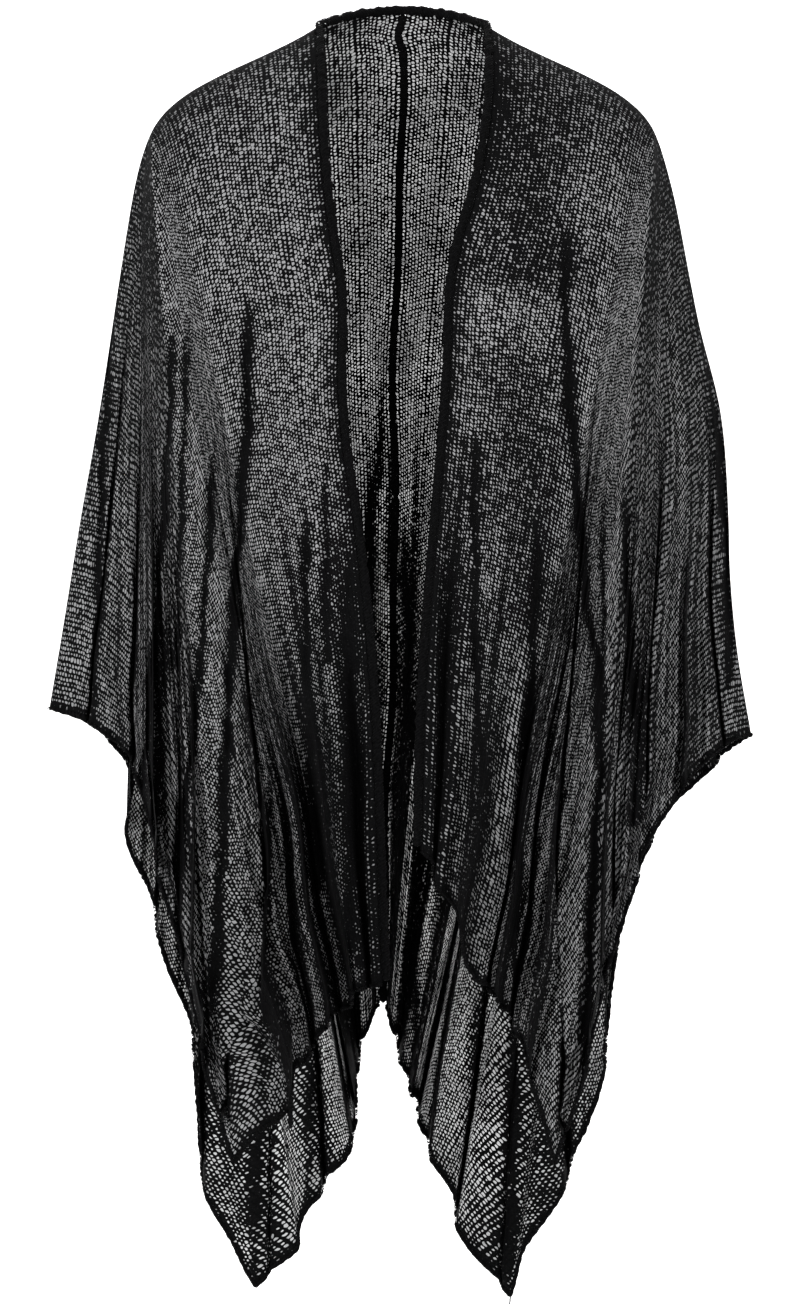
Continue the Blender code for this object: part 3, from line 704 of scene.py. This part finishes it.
# %% The cells of the net
BOX_POWER = 3.0
LADDER_SWAY, ROW_SWAY = 0.009, 0.006
JITTER_ACROSS, JITTER_DOWN = 0.0024, 0.0020
WIDTH_BY_CELL, WIDTH_BY_PATCH, WIDTH_BY_CLUMP = 0.36, 0.30, 0.85
HAZE_BY_CELL, HAZE_BY_PLACE = 0.14, 0.4
TURNED_LEAST, TURNED_POWER = 0.10, 0.52
CRUSHED_LEAST, CRUSHED_BY_CELL = 0.70, 0.55
LEAST_YARN = 0.08
YARN_SHARPNESS = 7.0
HAZE_LOST = 0.7
HEIGHT_REACH = 1.25
DRIFT_BUMPS, ROW_BUMPS, PATCH_BUMPS, CLUMP_BUMPS, LADDER_BUMPS = 95.0, 17.0, 55.0, 230.0, 46.0
HIGHLIGHT_BY_HEIGHT, TONE_BY_CELL, TONE_LOSS = 0.8, 0.5, 0.2


def from_middle(tree, place):
    """How far a place is from the middle of its cell, 0 to 1, to the power that rounds the box."""
    off = math(tree, "ABSOLUTE", math(tree, "SUBTRACT", math(tree, "FRACT", place), 0.5))
    return math(tree, "POWER", math(tree, "MULTIPLY", off, 2.0), BOX_POWER)


def net_knit_group():
    """Cells of the net. Across and down sway by a small drift and a finer jitter and are divided by the
    cell's size, every other column is shifted by half a cell, and a hole is a rounded box round the
    cell's middle. Its size varies by the cell and by noise of two sizes. Facing is 1 where the cloth
    faces the eye: yarn keeps its thickness where the cloth turns away, so the width of yarn in a cell
    is divided by it. Density And Shade, real closer net and painted shade, closes the cells further,
    unevenly. Cover is 1 on yarn and the haze of loose fibre in holes. Haze Sheen is 1 in the middle of
    a wide hole and lays the painted sheen of the fibre there; it fades where the cloth turns away and
    where Density And Shade is high. Height is highest along the yarn's middle, and Tint And Highlight
    is lighter there, a painted highlight on the yarn's crest, with a random tint by cell."""
    group, inside, outside = new_group("Net knit", (
        ("Vector", "NodeSocketVector", None),
        ("Cell Width", "NodeSocketFloat", 0.0043),
        ("Cell Height", "NodeSocketFloat", 0.0033),
        ("Yarn Width", "NodeSocketFloat", 0.42),
        ("Drift", "NodeSocketFloat", 0.0016),
        ("Haze", "NodeSocketFloat", 0.83),
        ("Facing", "NodeSocketFloat", 1.0),
        ("Density And Shade", "NodeSocketFloat", 0.0),
    ), ("Cover", "Haze Sheen", "Height", "Tint And Highlight"))
    port = inside.outputs
    place = separated(group, "ShaderNodeSeparateXYZ", port["Vector"])
    drift = noise(group, port["Vector"], DRIFT_BUMPS).outputs["Color"]
    drifts = separated(group, "ShaderNodeSeparateColor", drift)
    slow = noise(group, port["Vector"], ROW_BUMPS, detail=1.0).outputs["Fac"]
    patch = noise(group, port["Vector"], PATCH_BUMPS).outputs["Fac"]
    clump = noise(group, port["Vector"], CLUMP_BUMPS, detail=1.0).outputs
    jitter = separated(group, "ShaderNodeSeparateColor", clump["Color"])
    ladder = noise(group, pair(group, place[0]), LADDER_BUMPS, detail=1.0).outputs["Fac"]

    across = swayed(group, drifts[0], port["Drift"], place[0])
    across = swayed(group, ladder, LADDER_SWAY, across)
    across = swayed(group, jitter[1], JITTER_ACROSS, across)
    down = swayed(group, drifts[1], port["Drift"], place[1])
    down = swayed(group, slow, ROW_SWAY, down)
    down = swayed(group, jitter[2], JITTER_DOWN, down)
    u = math(group, "DIVIDE", across, port["Cell Width"])
    column = math(group, "FLOOR", u)
    half = math(group, "MULTIPLY", math(group, "FLOORED_MODULO", column, 2.0), 0.5)
    v = math(group, "ADD", math(group, "DIVIDE", down, port["Cell Height"]), half)
    draw = group.nodes.new("ShaderNodeTexWhiteNoise")
    draw.noise_dimensions = "2D"
    group.links.new(pair(group, column, math(group, "FLOOR", v)), draw.inputs["Vector"])
    chance = draw.outputs["Value"]

    far = math(group, "ADD", from_middle(group, u), from_middle(group, v))
    far = math(group, "POWER", far, 1 / BOX_POWER)
    facing = math(group, "POWER", math(group, "MAXIMUM", port["Facing"], TURNED_LEAST), TURNED_POWER)
    width = swayed(group, chance, WIDTH_BY_CELL, port["Yarn Width"])
    width = swayed(group, patch, WIDTH_BY_PATCH, width)
    width = swayed(group, clump["Fac"], WIDTH_BY_CLUMP, width)
    width = math(group, "DIVIDE", width, facing)
    uneven = math(group, "MULTIPLY_ADD", chance, CRUSHED_BY_CELL, CRUSHED_LEAST)
    width = math(group, "MULTIPLY_ADD", port["Density And Shade"], uneven, width)
    size = math(group, "SUBTRACT", 1.0, math(group, "MAXIMUM", width, LEAST_YARN))
    past = math(group, "SUBTRACT", far, size)
    yarn = math(group, "MULTIPLY_ADD", past, YARN_SHARPNESS, 0.5, clamp=True)
    hole = math(group, "SUBTRACT", 1.0, yarn)

    clear = math(group, "SUBTRACT", 1.0, port["Haze"])
    clear = swayed(group, slow, HAZE_BY_PLACE, clear)
    clear = swayed(group, chance, HAZE_BY_CELL, clear)
    clear = math(group, "MULTIPLY", clear, facing, clamp=True)
    loose = math(group, "MULTIPLY_ADD", port["Density And Shade"], -HAZE_LOST, 1.0, clamp=True)
    clear = math(group, "MULTIPLY", clear, loose)
    cover = math(group, "SUBTRACT", 1.0, math(group, "MULTIPLY", hole, clear), clamp=True)
    # where the haze's painted sheen shows: less where the cloth turns away and where the field of density
    # and shade is high
    lit = math(group, "MULTIPLY", hole, math(group, "MULTIPLY", facing, loose), clamp=True)
    over = math(group, "DIVIDE", past, math(group, "SUBTRACT", HEIGHT_REACH, size), clamp=True)
    height = math(group, "SINE", math(group, "MULTIPLY", over, np.pi))
    # lighter along the yarn's crest as a painted highlight, with a random tint by cell
    tint_and_highlight = math(group, "MULTIPLY_ADD", chance, TONE_BY_CELL, -TONE_LOSS)
    tint_and_highlight = math(group, "MULTIPLY_ADD", height, HIGHLIGHT_BY_HEIGHT, tint_and_highlight, clamp=True)
    for name, value in (("Cover", cover), ("Haze Sheen", lit), ("Height", height), ("Tint And Highlight", tint_and_highlight)):
        group.links.new(value, outside.inputs[name])
    return group


NET_KNIT = net_knit_group()
print("net group sockets:", [item.name for item in NET_KNIT.interface.items_tree])

# %% [markdown]
# ## The cloth's material
#
# Matt black yarn shows almost no gloss. Fine loose fibre hangs in every hole and catches some light,
# so a hole is a grey haze, painted as sheen: the fibre is black, and its grey colour stands for the
# light it catches. The net group feeds alpha, so that what lies behind shows through the holes, and
# bump, so that the yarn is round. Seen edge-on, and where a fold crushes it, the net closes.

# %% Yarn colours and the net material
BLACK = (0.0008, 0.0008, 0.0009, 1.0)
# the lighter yarn colour, reached by random tint and by a painted highlight on crests
SOFT_BLACK = (0.0030, 0.0030, 0.0032, 1.0)
# painted sheen: the black fibre's haze is coloured grey for the light it catches
FIBRE_SHEEN_GREY = (0.235, 0.235, 0.24, 1.0)


def knit_shader(name, roughness, sheen):
    """A Principled material for black yarn with its constants set on the shader's own sockets."""
    material = bpy.data.materials.new(name)
    material.use_nodes = True
    tree = material.node_tree
    shader = tree.nodes["Principled BSDF"]
    shader.inputs["Base Color"].default_value = BLACK
    shader.inputs["Roughness"].default_value = roughness
    shader.inputs["Specular IOR Level"].default_value = 0.03
    shader.inputs["Sheen Weight"].default_value = sheen
    shader.inputs["Sheen Roughness"].default_value = 0.6
    return material, tree, shader


def between(tree, factor, first, second):
    """A colour that goes from first, a colour or a socket, to the second colour with the factor."""
    mix = tree.nodes.new("ShaderNodeMix")
    mix.data_type = "RGBA"
    tree.links.new(factor, mix.inputs["Factor"])
    if isinstance(first, tuple):
        mix.inputs[6].default_value = first
    else:
        tree.links.new(first, mix.inputs[6])
    mix.inputs[7].default_value = second
    return mix.outputs[2]


def flat_place(tree):
    """The place on the piece's flat map."""
    place = tree.nodes.new("ShaderNodeUVMap")
    place.uv_map = "flat"
    return place.outputs[0]


def turned_away(tree):
    """0 where the surface faces the eye, 1 where it is seen edge-on."""
    angle = tree.nodes.new("ShaderNodeLayerWeight")
    angle.inputs["Blend"].default_value = 0.5
    return angle.outputs["Facing"]


def bumped(tree, shader, height, strength, distance):
    """A Bump node of this height between the group and the shader."""
    bump = tree.nodes.new("ShaderNodeBump")
    bump.inputs["Strength"].default_value = strength
    bump.inputs["Distance"].default_value = distance
    tree.links.new(height, bump.inputs["Height"])
    tree.links.new(bump.outputs[0], shader.inputs["Normal"])


def net_material():
    """The net's group between the eye's angle, the cloth's field of density and painted shade, and the
    shader.
    """
    material, tree, shader = knit_shader("black net knit", 0.90, 0.0)
    dense = tree.nodes.new("ShaderNodeAttribute")
    dense.attribute_name = "dense"
    net = tree.nodes.new("ShaderNodeGroup")
    net.node_tree = NET_KNIT
    tree.links.new(flat_place(tree), net.inputs["Vector"])
    tree.links.new(math(tree, "SUBTRACT", 1.0, turned_away(tree)), net.inputs["Facing"])
    tree.links.new(dense.outputs["Fac"], net.inputs["Density And Shade"])
    yarn = between(tree, net.outputs["Tint And Highlight"], BLACK, SOFT_BLACK)
    colour = between(tree, net.outputs["Haze Sheen"], yarn, FIBRE_SHEEN_GREY)
    tree.links.new(colour, shader.inputs["Base Color"])
    tree.links.new(net.outputs["Cover"], shader.inputs["Alpha"])
    bumped(tree, shader, net.outputs["Height"], 0.5, 0.0006)
    return material


net_black = net_material()
print("net material nodes:", len(net_black.node_tree.nodes))

# %% [markdown]
# ## Both lengths of cloth
#
# Each length is one sheet: a grid of hang lines by rows, with the flat place of every point as its map.
# Lines of front and back meet on the shoulder line, where their points are merged into one sheet.

# %% Make a mesh from a grid
def mesh_piece(name, points, faces, material, uv=None):
    """A smooth mesh object at the origin. uv holds one pair a point, for the map named flat."""
    mesh = bpy.data.meshes.new(name)
    mesh.from_pydata(points.tolist(), [], faces)
    if uv is not None:
        corners = np.empty(len(mesh.loops), dtype=np.int64)
        mesh.loops.foreach_get("vertex_index", corners)
        layer = mesh.uv_layers.new(name="flat")
        layer.data.foreach_set("uv", np.ascontiguousarray(uv[corners], dtype=np.float32).ravel())
    mesh.polygons.foreach_set("use_smooth", np.ones(len(mesh.polygons), dtype=bool))
    mesh.materials.append(material)
    piece = bpy.data.objects.new(name, mesh)
    bpy.context.scene.collection.objects.link(piece)
    return piece


def grid_faces(lines, rows, sign):
    """The quads of a grid, turned the other way round where sign is -1, so that they face outwards."""
    corner = np.arange(lines * rows).reshape(lines, rows)
    quads = np.stack([corner[:-1, :-1], corner[:-1, 1:], corner[1:, 1:], corner[1:, :-1]], axis=2)
    return quads.reshape(-1, 4)[:, ::sign].tolist()


MERGE_REACH = 0.00002


def cloth_piece(side):
    """One length as a sheet. Front places on the flat map count down as negative, so the map has no
    place twice. Points that fall together at the shoulder are merged."""
    around, places, flat, flat_side, dense = cloth[side.name]
    lines, rows = places.shape[:2]
    uv = np.stack([flat[..., 0], flat[..., 1] * flat_side], axis=2).reshape(-1, 2)
    piece = mesh_piece(f"{side.name}_cloth", places.reshape(-1, 3), grid_faces(lines, rows, side.sign),
                       net_black, uv)
    closed = piece.data.attributes.new("dense", "FLOAT", "POINT")
    closed.data.foreach_set("value", dense.ravel().astype(np.float32))
    work = bmesh.new()
    work.from_mesh(piece.data)
    bmesh.ops.remove_doubles(work, verts=work.verts, dist=MERGE_REACH)
    work.to_mesh(piece.data)
    work.free()
    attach(piece, "root")
    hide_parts(f"{side.name}_panel")
    return piece


cloths = {side.name: cloth_piece(side) for side in SIDES}
print("cloth faces:", {name: len(piece.data.polygons) for name, piece in cloths.items()})

# %% [markdown]
# ## The rolled front and neck edge
#
# A knitted edge curls on itself into a round roll about 8 mm thick, dark because the yarn lies dense.
# It is a tube carried along the cloth's edge, with a slow unevenness in its thickness and slanting
# ribs of yarn as bump. A curve with a bevel would be quicker, but would not ride on the cloth's own rim.

# %% A roll along an edge
def resampled(path, spacing):
    """The path with points evenly spaced along it."""
    along = np.concatenate([[0], np.cumsum(np.linalg.norm(np.diff(path, axis=0), axis=1))])
    at = np.linspace(0, along[-1], max(int(along[-1] / spacing), 8))
    return np.stack([np.interp(at, along, path[:, k]) for k in range(3)], axis=1), at


def softened(path, turns):
    """The path after this many passes of a three-point mean, with both ends kept."""
    path = path.copy()
    for _ in range(turns):
        path[1:-1] = 0.25 * path[:-2] + 0.5 * path[1:-1] + 0.25 * path[2:]
    return path


def carried_frame(path):
    """Two unit ways square to the path at every point: sideways first, then up from it."""
    along = unit(np.gradient(path, axis=0))
    hint = np.where(np.abs(along[:, 2:3]) > 0.75, [[0.0, 1.0, 0.0]], [[0.0, 0.0, 1.0]])
    hint = softened(hint.astype(float), 30)
    side_way = unit(np.cross(along, hint))
    return side_way, np.cross(side_way, along)


def roll_piece(name, path, radius, sides, material, spacing, seed, unevenness):
    """A tube along the path, its radius varied by nine waves of chance length, closed to a dome at both
    ends. Its map holds the way round it and the way along it, in metres."""
    path, at = resampled(path, spacing)
    one, two = carried_frame(path)
    chance = np.random.default_rng(seed)
    waves = chance.uniform(90, 900, 9)
    phases = chance.uniform(0, 6.28, 9)
    swell = 1 + unevenness * np.mean(np.sin(at[:, None] * waves + phases), axis=1)
    ends = np.minimum(at, at[-1] - at) / radius
    dome = np.sqrt(np.clip(1 - (1 - np.clip(ends, 0, 1)) ** 2, 0.02, 1))
    turn = np.linspace(0, 2 * np.pi, sides, endpoint=False)
    reach = (radius * swell * dome)[:, None, None]
    rings = path[:, None] + reach * (np.cos(turn)[None, :, None] * one[:, None]
                                     + np.sin(turn)[None, :, None] * two[:, None])
    count = len(path)
    corner = np.arange(count * sides).reshape(count, sides)
    after = np.roll(corner, -1, axis=1)
    quads = np.stack([corner[:-1], corner[1:], after[1:], after[:-1]], axis=2).reshape(-1, 4)
    points = np.concatenate([rings.reshape(-1, 3), path[:1], path[-1:]])
    tips = [[count * sides, corner[0, k], after[0, k]] for k in range(sides)]
    tips += [[count * sides + 1, after[-1, k], corner[-1, k]] for k in range(sides)]
    uv = np.stack(np.broadcast_arrays(turn[None] * radius, at[:, None]), axis=2)
    uv = np.concatenate([uv.reshape(-1, 2), [[0, 0], [0, at[-1]]]])
    piece = mesh_piece(name, points, quads.tolist() + tips, material, uv)
    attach(piece, "root")
    return piece


# %% A group for ribs of yarn, and the rolled edge's material
RIB_SWAY = 0.004
RIB_RISE, GRAIN_RISE = 0.35, 0.6
ROUGH_BUMPS, SWAY_BUMPS, FUZZ_BUMPS = 420.0, 90.0, 520.0
FRAYS_AT, FRAY_UNEVEN, FRAY_SHARPNESS = 0.78, 1.1, 5.0


def yarn_rib_group():
    """Slanting ribs: a sine of the way along plus some of the way round, broken by noise. Height is
    the rib's rise and Tint And Highlight its shade: grainy, and lighter on top of a rib, a painted
    highlight."""
    group, inside, outside = new_group("Yarn ribs", (
        ("Vector", "NodeSocketVector", None),
        ("Rib", "NodeSocketFloat", 0.0024),
        ("Slant", "NodeSocketFloat", 0.6),
    ), ("Height", "Tint And Highlight"))
    port = inside.outputs
    place = separated(group, "ShaderNodeSeparateXYZ", port["Vector"])
    rough = noise(group, port["Vector"], ROUGH_BUMPS, detail=3.0).outputs["Fac"]
    slow = noise(group, port["Vector"], SWAY_BUMPS).outputs["Fac"]
    way = math(group, "MULTIPLY_ADD", place[0], port["Slant"], place[1])
    way = math(group, "MULTIPLY_ADD", slow, RIB_SWAY, way)
    wave = math(group, "SINE", math(group, "MULTIPLY", math(group, "DIVIDE", way, port["Rib"]), 2 * np.pi))
    height = math(group, "MULTIPLY_ADD", wave, RIB_RISE, math(group, "MULTIPLY", rough, GRAIN_RISE))
    grain = math(group, "MULTIPLY_ADD", rough, 3.0, -1.2)
    # lighter on top of a rib as a painted highlight, plus grain
    tint_and_highlight = math(group, "MULTIPLY_ADD", height, 0.6, grain, clamp=True)
    group.links.new(height, outside.inputs["Height"])
    group.links.new(tint_and_highlight, outside.inputs["Tint And Highlight"])
    return group


YARN_RIBS = yarn_rib_group()


def ribbed_material(name, rib, slant, strength):
    """Ribbed yarn that frays to nothing where it turns away from the eye, as loose fibre does."""
    material, tree, shader = knit_shader(name, 0.92, 0.006)
    place = flat_place(tree)
    ribs = tree.nodes.new("ShaderNodeGroup")
    ribs.node_tree = YARN_RIBS
    ribs.inputs["Rib"].default_value = rib
    ribs.inputs["Slant"].default_value = slant
    tree.links.new(place, ribs.inputs["Vector"])
    tree.links.new(between(tree, ribs.outputs["Tint And Highlight"], BLACK, SOFT_BLACK), shader.inputs["Base Color"])
    fuzz = noise(tree, place, FUZZ_BUMPS, detail=1.0).outputs["Fac"]
    thick = swayed(tree, fuzz, FRAY_UNEVEN, math(tree, "SUBTRACT", FRAYS_AT, turned_away(tree)))
    tree.links.new(math(tree, "MULTIPLY", thick, FRAY_SHARPNESS, clamp=True), shader.inputs["Alpha"])
    bumped(tree, shader, ribs.outputs["Height"], strength, 0.0008)
    return material


rolled_black = ribbed_material("rolled edge", 0.0026, 0.7, 0.9)
hem_black = ribbed_material("cast-off hem", 0.0034, 0.3, 1.0)
seam_black = ribbed_material("back seam ridge", 0.0030, 0.0, 0.8)
print("yarn materials:", rolled_black.name, hem_black.name, seam_black.name)

# %% Both front edges, from the hem to the nape
EDGE_RADIUS = 0.0042
HEM_RADIUS = 0.0019
SEAM_RADIUS = 0.0036
EDGE_SEAT, HEM_SEAT, NAPE_LAP = 0.85, 0.6, 0.7


def front_edge(side):
    """The roll's path: up the first hang line, then along the neck to the seam, moved outwards from
    the cloth by most of its radius, and softened where it turns at the side of the neck. Both rolls
    lap each other a little at the nape."""
    around, places = cloth[side.name][:2]
    neck = np.flatnonzero(around > AROUND - NECK_WIDTH)
    path = np.concatenate([places[0, ::-1], places[neck, 0]])
    inner = np.concatenate([places[1, ::-1], places[neck, 1]])
    away = unit(softened(unit(path - inner), 12))
    path = path + away * EDGE_RADIUS * EDGE_SEAT
    path = softened(path, 6)
    path[-1, 0] = -side.sign * EDGE_RADIUS * NAPE_LAP
    piece = roll_piece(f"{side.name}_edge_roll", path, EDGE_RADIUS, 14, rolled_black,
                       spacing=0.0016, seed=side.seed, unevenness=0.40)
    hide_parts(f"{side.name}_front_edge", f"{side.name}_neck_edge")
    return piece


edges = {side.name: front_edge(side) for side in SIDES}
print("edge rolls:", {name: len(piece.data.polygons) for name, piece in edges.items()})

# %% [markdown]
# ## The hems
#
# The lower edge ends in a narrow cast-off of small loops, which looks like a bumpy, slightly wavy cord.
# It follows every fold, so it is a thin tube along the cloth's last row, with a beaded thickness.

# %% Hem rolls
def hem(side):
    """The cast-off along the last row of the cloth, seated a little below it."""
    places = cloth[side.name][1]
    path = places[:, -1]
    away = unit(path - places[:, -3])
    path = path + away * HEM_RADIUS * HEM_SEAT
    piece = roll_piece(f"{side.name}_hem_roll", path, HEM_RADIUS, 8, hem_black,
                       spacing=0.0014, seed=side.seed + 20, unevenness=0.55)
    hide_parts(f"{side.name}_hem")
    return piece


hems = {side.name: hem(side) for side in SIDES}
print("hem rolls:", {name: len(piece.data.polygons) for name, piece in hems.items()})

# %% The end of yarn at the left back corner
TAIL_LENGTH = 0.009
TAIL_RADIUS = 0.0007


def yarn_tail():
    """The end of the cast-off yarn: it hangs from the hem's lowest point and bends a little."""
    places = cloth["left"][1][:, -1]
    corner = places[places[:, 2].argmin()]
    down = np.linspace(0, 1, 9)[:, None]
    hangs = [[0.0012, 0.0, -TAIL_LENGTH - HEM_RADIUS]]
    bends = [[-0.0022, 0.001, 0.0]]
    path = corner + down * hangs + down**2 * bends
    piece = roll_piece("left_yarn_tail", path, TAIL_RADIUS, 6, hem_black,
                       spacing=0.0008, seed=77, unevenness=0.3)
    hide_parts("left_hem")
    return piece


tail = yarn_tail()
print("yarn tail faces:", len(tail.data.polygons))

# %% [markdown]
# ## The seam down the back
#
# Both lengths are sewn edge to edge, which leaves a dense ridge. It is a tube between both inner edges.

# %% Seam ridge
def back_seam():
    """A ridge along the mean of both lengths' last hang lines."""
    left, right = cloth["left"][1][-1], cloth["right"][1][-1]
    path = (left + right) / 2
    piece = roll_piece("back_seam_ridge", path, SEAM_RADIUS, 12, seam_black,
                       spacing=0.0018, seed=41, unevenness=0.40)
    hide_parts("back_seam")
    return piece


seam = back_seam()
print("seam faces:", len(seam.data.polygons))

# %% [markdown]
# ## Studio
#
# The photograph is a cut-out on white, so a pale floor curves up into a pale backdrop, with broad soft
# lights. The camera looks level from the front with a long, flat view, so it is an orthographic one.

# %% Floor, backdrop and lights
FLOOR_Z = -1.40
WALL_Y = 3.6
BEND_RADIUS = 1.2


def plain_white():
    """Matt white for floor and backdrop."""
    material = bpy.data.materials.new("studio white")
    material.use_nodes = True
    shader = material.node_tree.nodes["Principled BSDF"]
    shader.inputs["Base Color"].default_value = (0.92, 0.92, 0.92, 1)
    shader.inputs["Roughness"].default_value = 0.9
    return material


def sweep():
    """A floor that bends up into a wall: a profile of floor, quarter circle and wall, drawn out
    sideways."""
    bend = np.linspace(0, np.pi / 2, 24)
    y = np.concatenate([[-6.0], WALL_Y + BEND_RADIUS * (np.sin(bend) - 1), [WALL_Y]])
    z = np.concatenate([[FLOOR_Z], FLOOR_Z + BEND_RADIUS * (1 - np.cos(bend)), [5.0]])
    x = np.array([-7.0, 7.0])
    points = np.stack([np.repeat(x, len(y)), np.tile(y, 2), np.tile(z, 2)], axis=1)
    k = np.arange(len(y) - 1)
    faces = np.stack([k, k + 1, k + 1 + len(y), k + len(y)], axis=1)
    piece = mesh_piece("studio_sweep", points, faces.tolist(), plain_white())
    return piece


def soft_light(name, place, target, size, power):
    """A rectangular area light at a place, turned to face the target."""
    light = bpy.data.lights.new(name, "AREA")
    light.shape = "RECTANGLE"
    light.size, light.size_y = size
    light.energy = power
    thing = bpy.data.objects.new(name, light)
    thing.location = place
    way = np.array(target) - np.array(place)
    thing.rotation_euler = Vector(way).to_track_quat("-Z", "Y").to_euler()
    bpy.context.scene.collection.objects.link(thing)
    return thing


sweep()
soft_light("key", (-2.6, -2.8, 1.4), (0, 0, -0.5), (2.2, 2.2), 160)
soft_light("fill", (2.4, -2.8, 0.6), (0, 0, -0.5), (2.4, 2.4), 75)
soft_light("back", (0.0, 1.6, 2.4), (0, 3.2, -0.6), (4.0, 1.5), 170)
world = bpy.data.worlds.new("studio air")
world.use_nodes = True
world.node_tree.nodes["Background"].inputs["Color"].default_value = (1, 1, 1, 1)
world.node_tree.nodes["Background"].inputs["Strength"].default_value = 0.72
bpy.context.scene.world = world
bpy.context.scene.cycles.transparent_max_bounces = 32
bpy.context.scene.view_settings.view_transform = "Standard"

# %% Camera at the photograph's angle
METRES_A_PIXEL = 0.00086
PHOTO_HEIGHT = 1304
PHOTO_MIDDLE = (400, 652)
ORIGIN_PIXEL = (403, 14)
camera = bpy.data.cameras.new("photo view")
camera.type = "ORTHO"
camera.ortho_scale = PHOTO_HEIGHT * METRES_A_PIXEL
viewer = bpy.data.objects.new("photo view", camera)
viewer.location = ((PHOTO_MIDDLE[0] - ORIGIN_PIXEL[0]) * METRES_A_PIXEL, -4.0,
                   -(PHOTO_MIDDLE[1] - ORIGIN_PIXEL[1]) * METRES_A_PIXEL)
viewer.rotation_euler = (np.pi / 2, 0, 0)
bpy.context.scene.collection.objects.link(viewer)
bpy.context.scene.camera = viewer
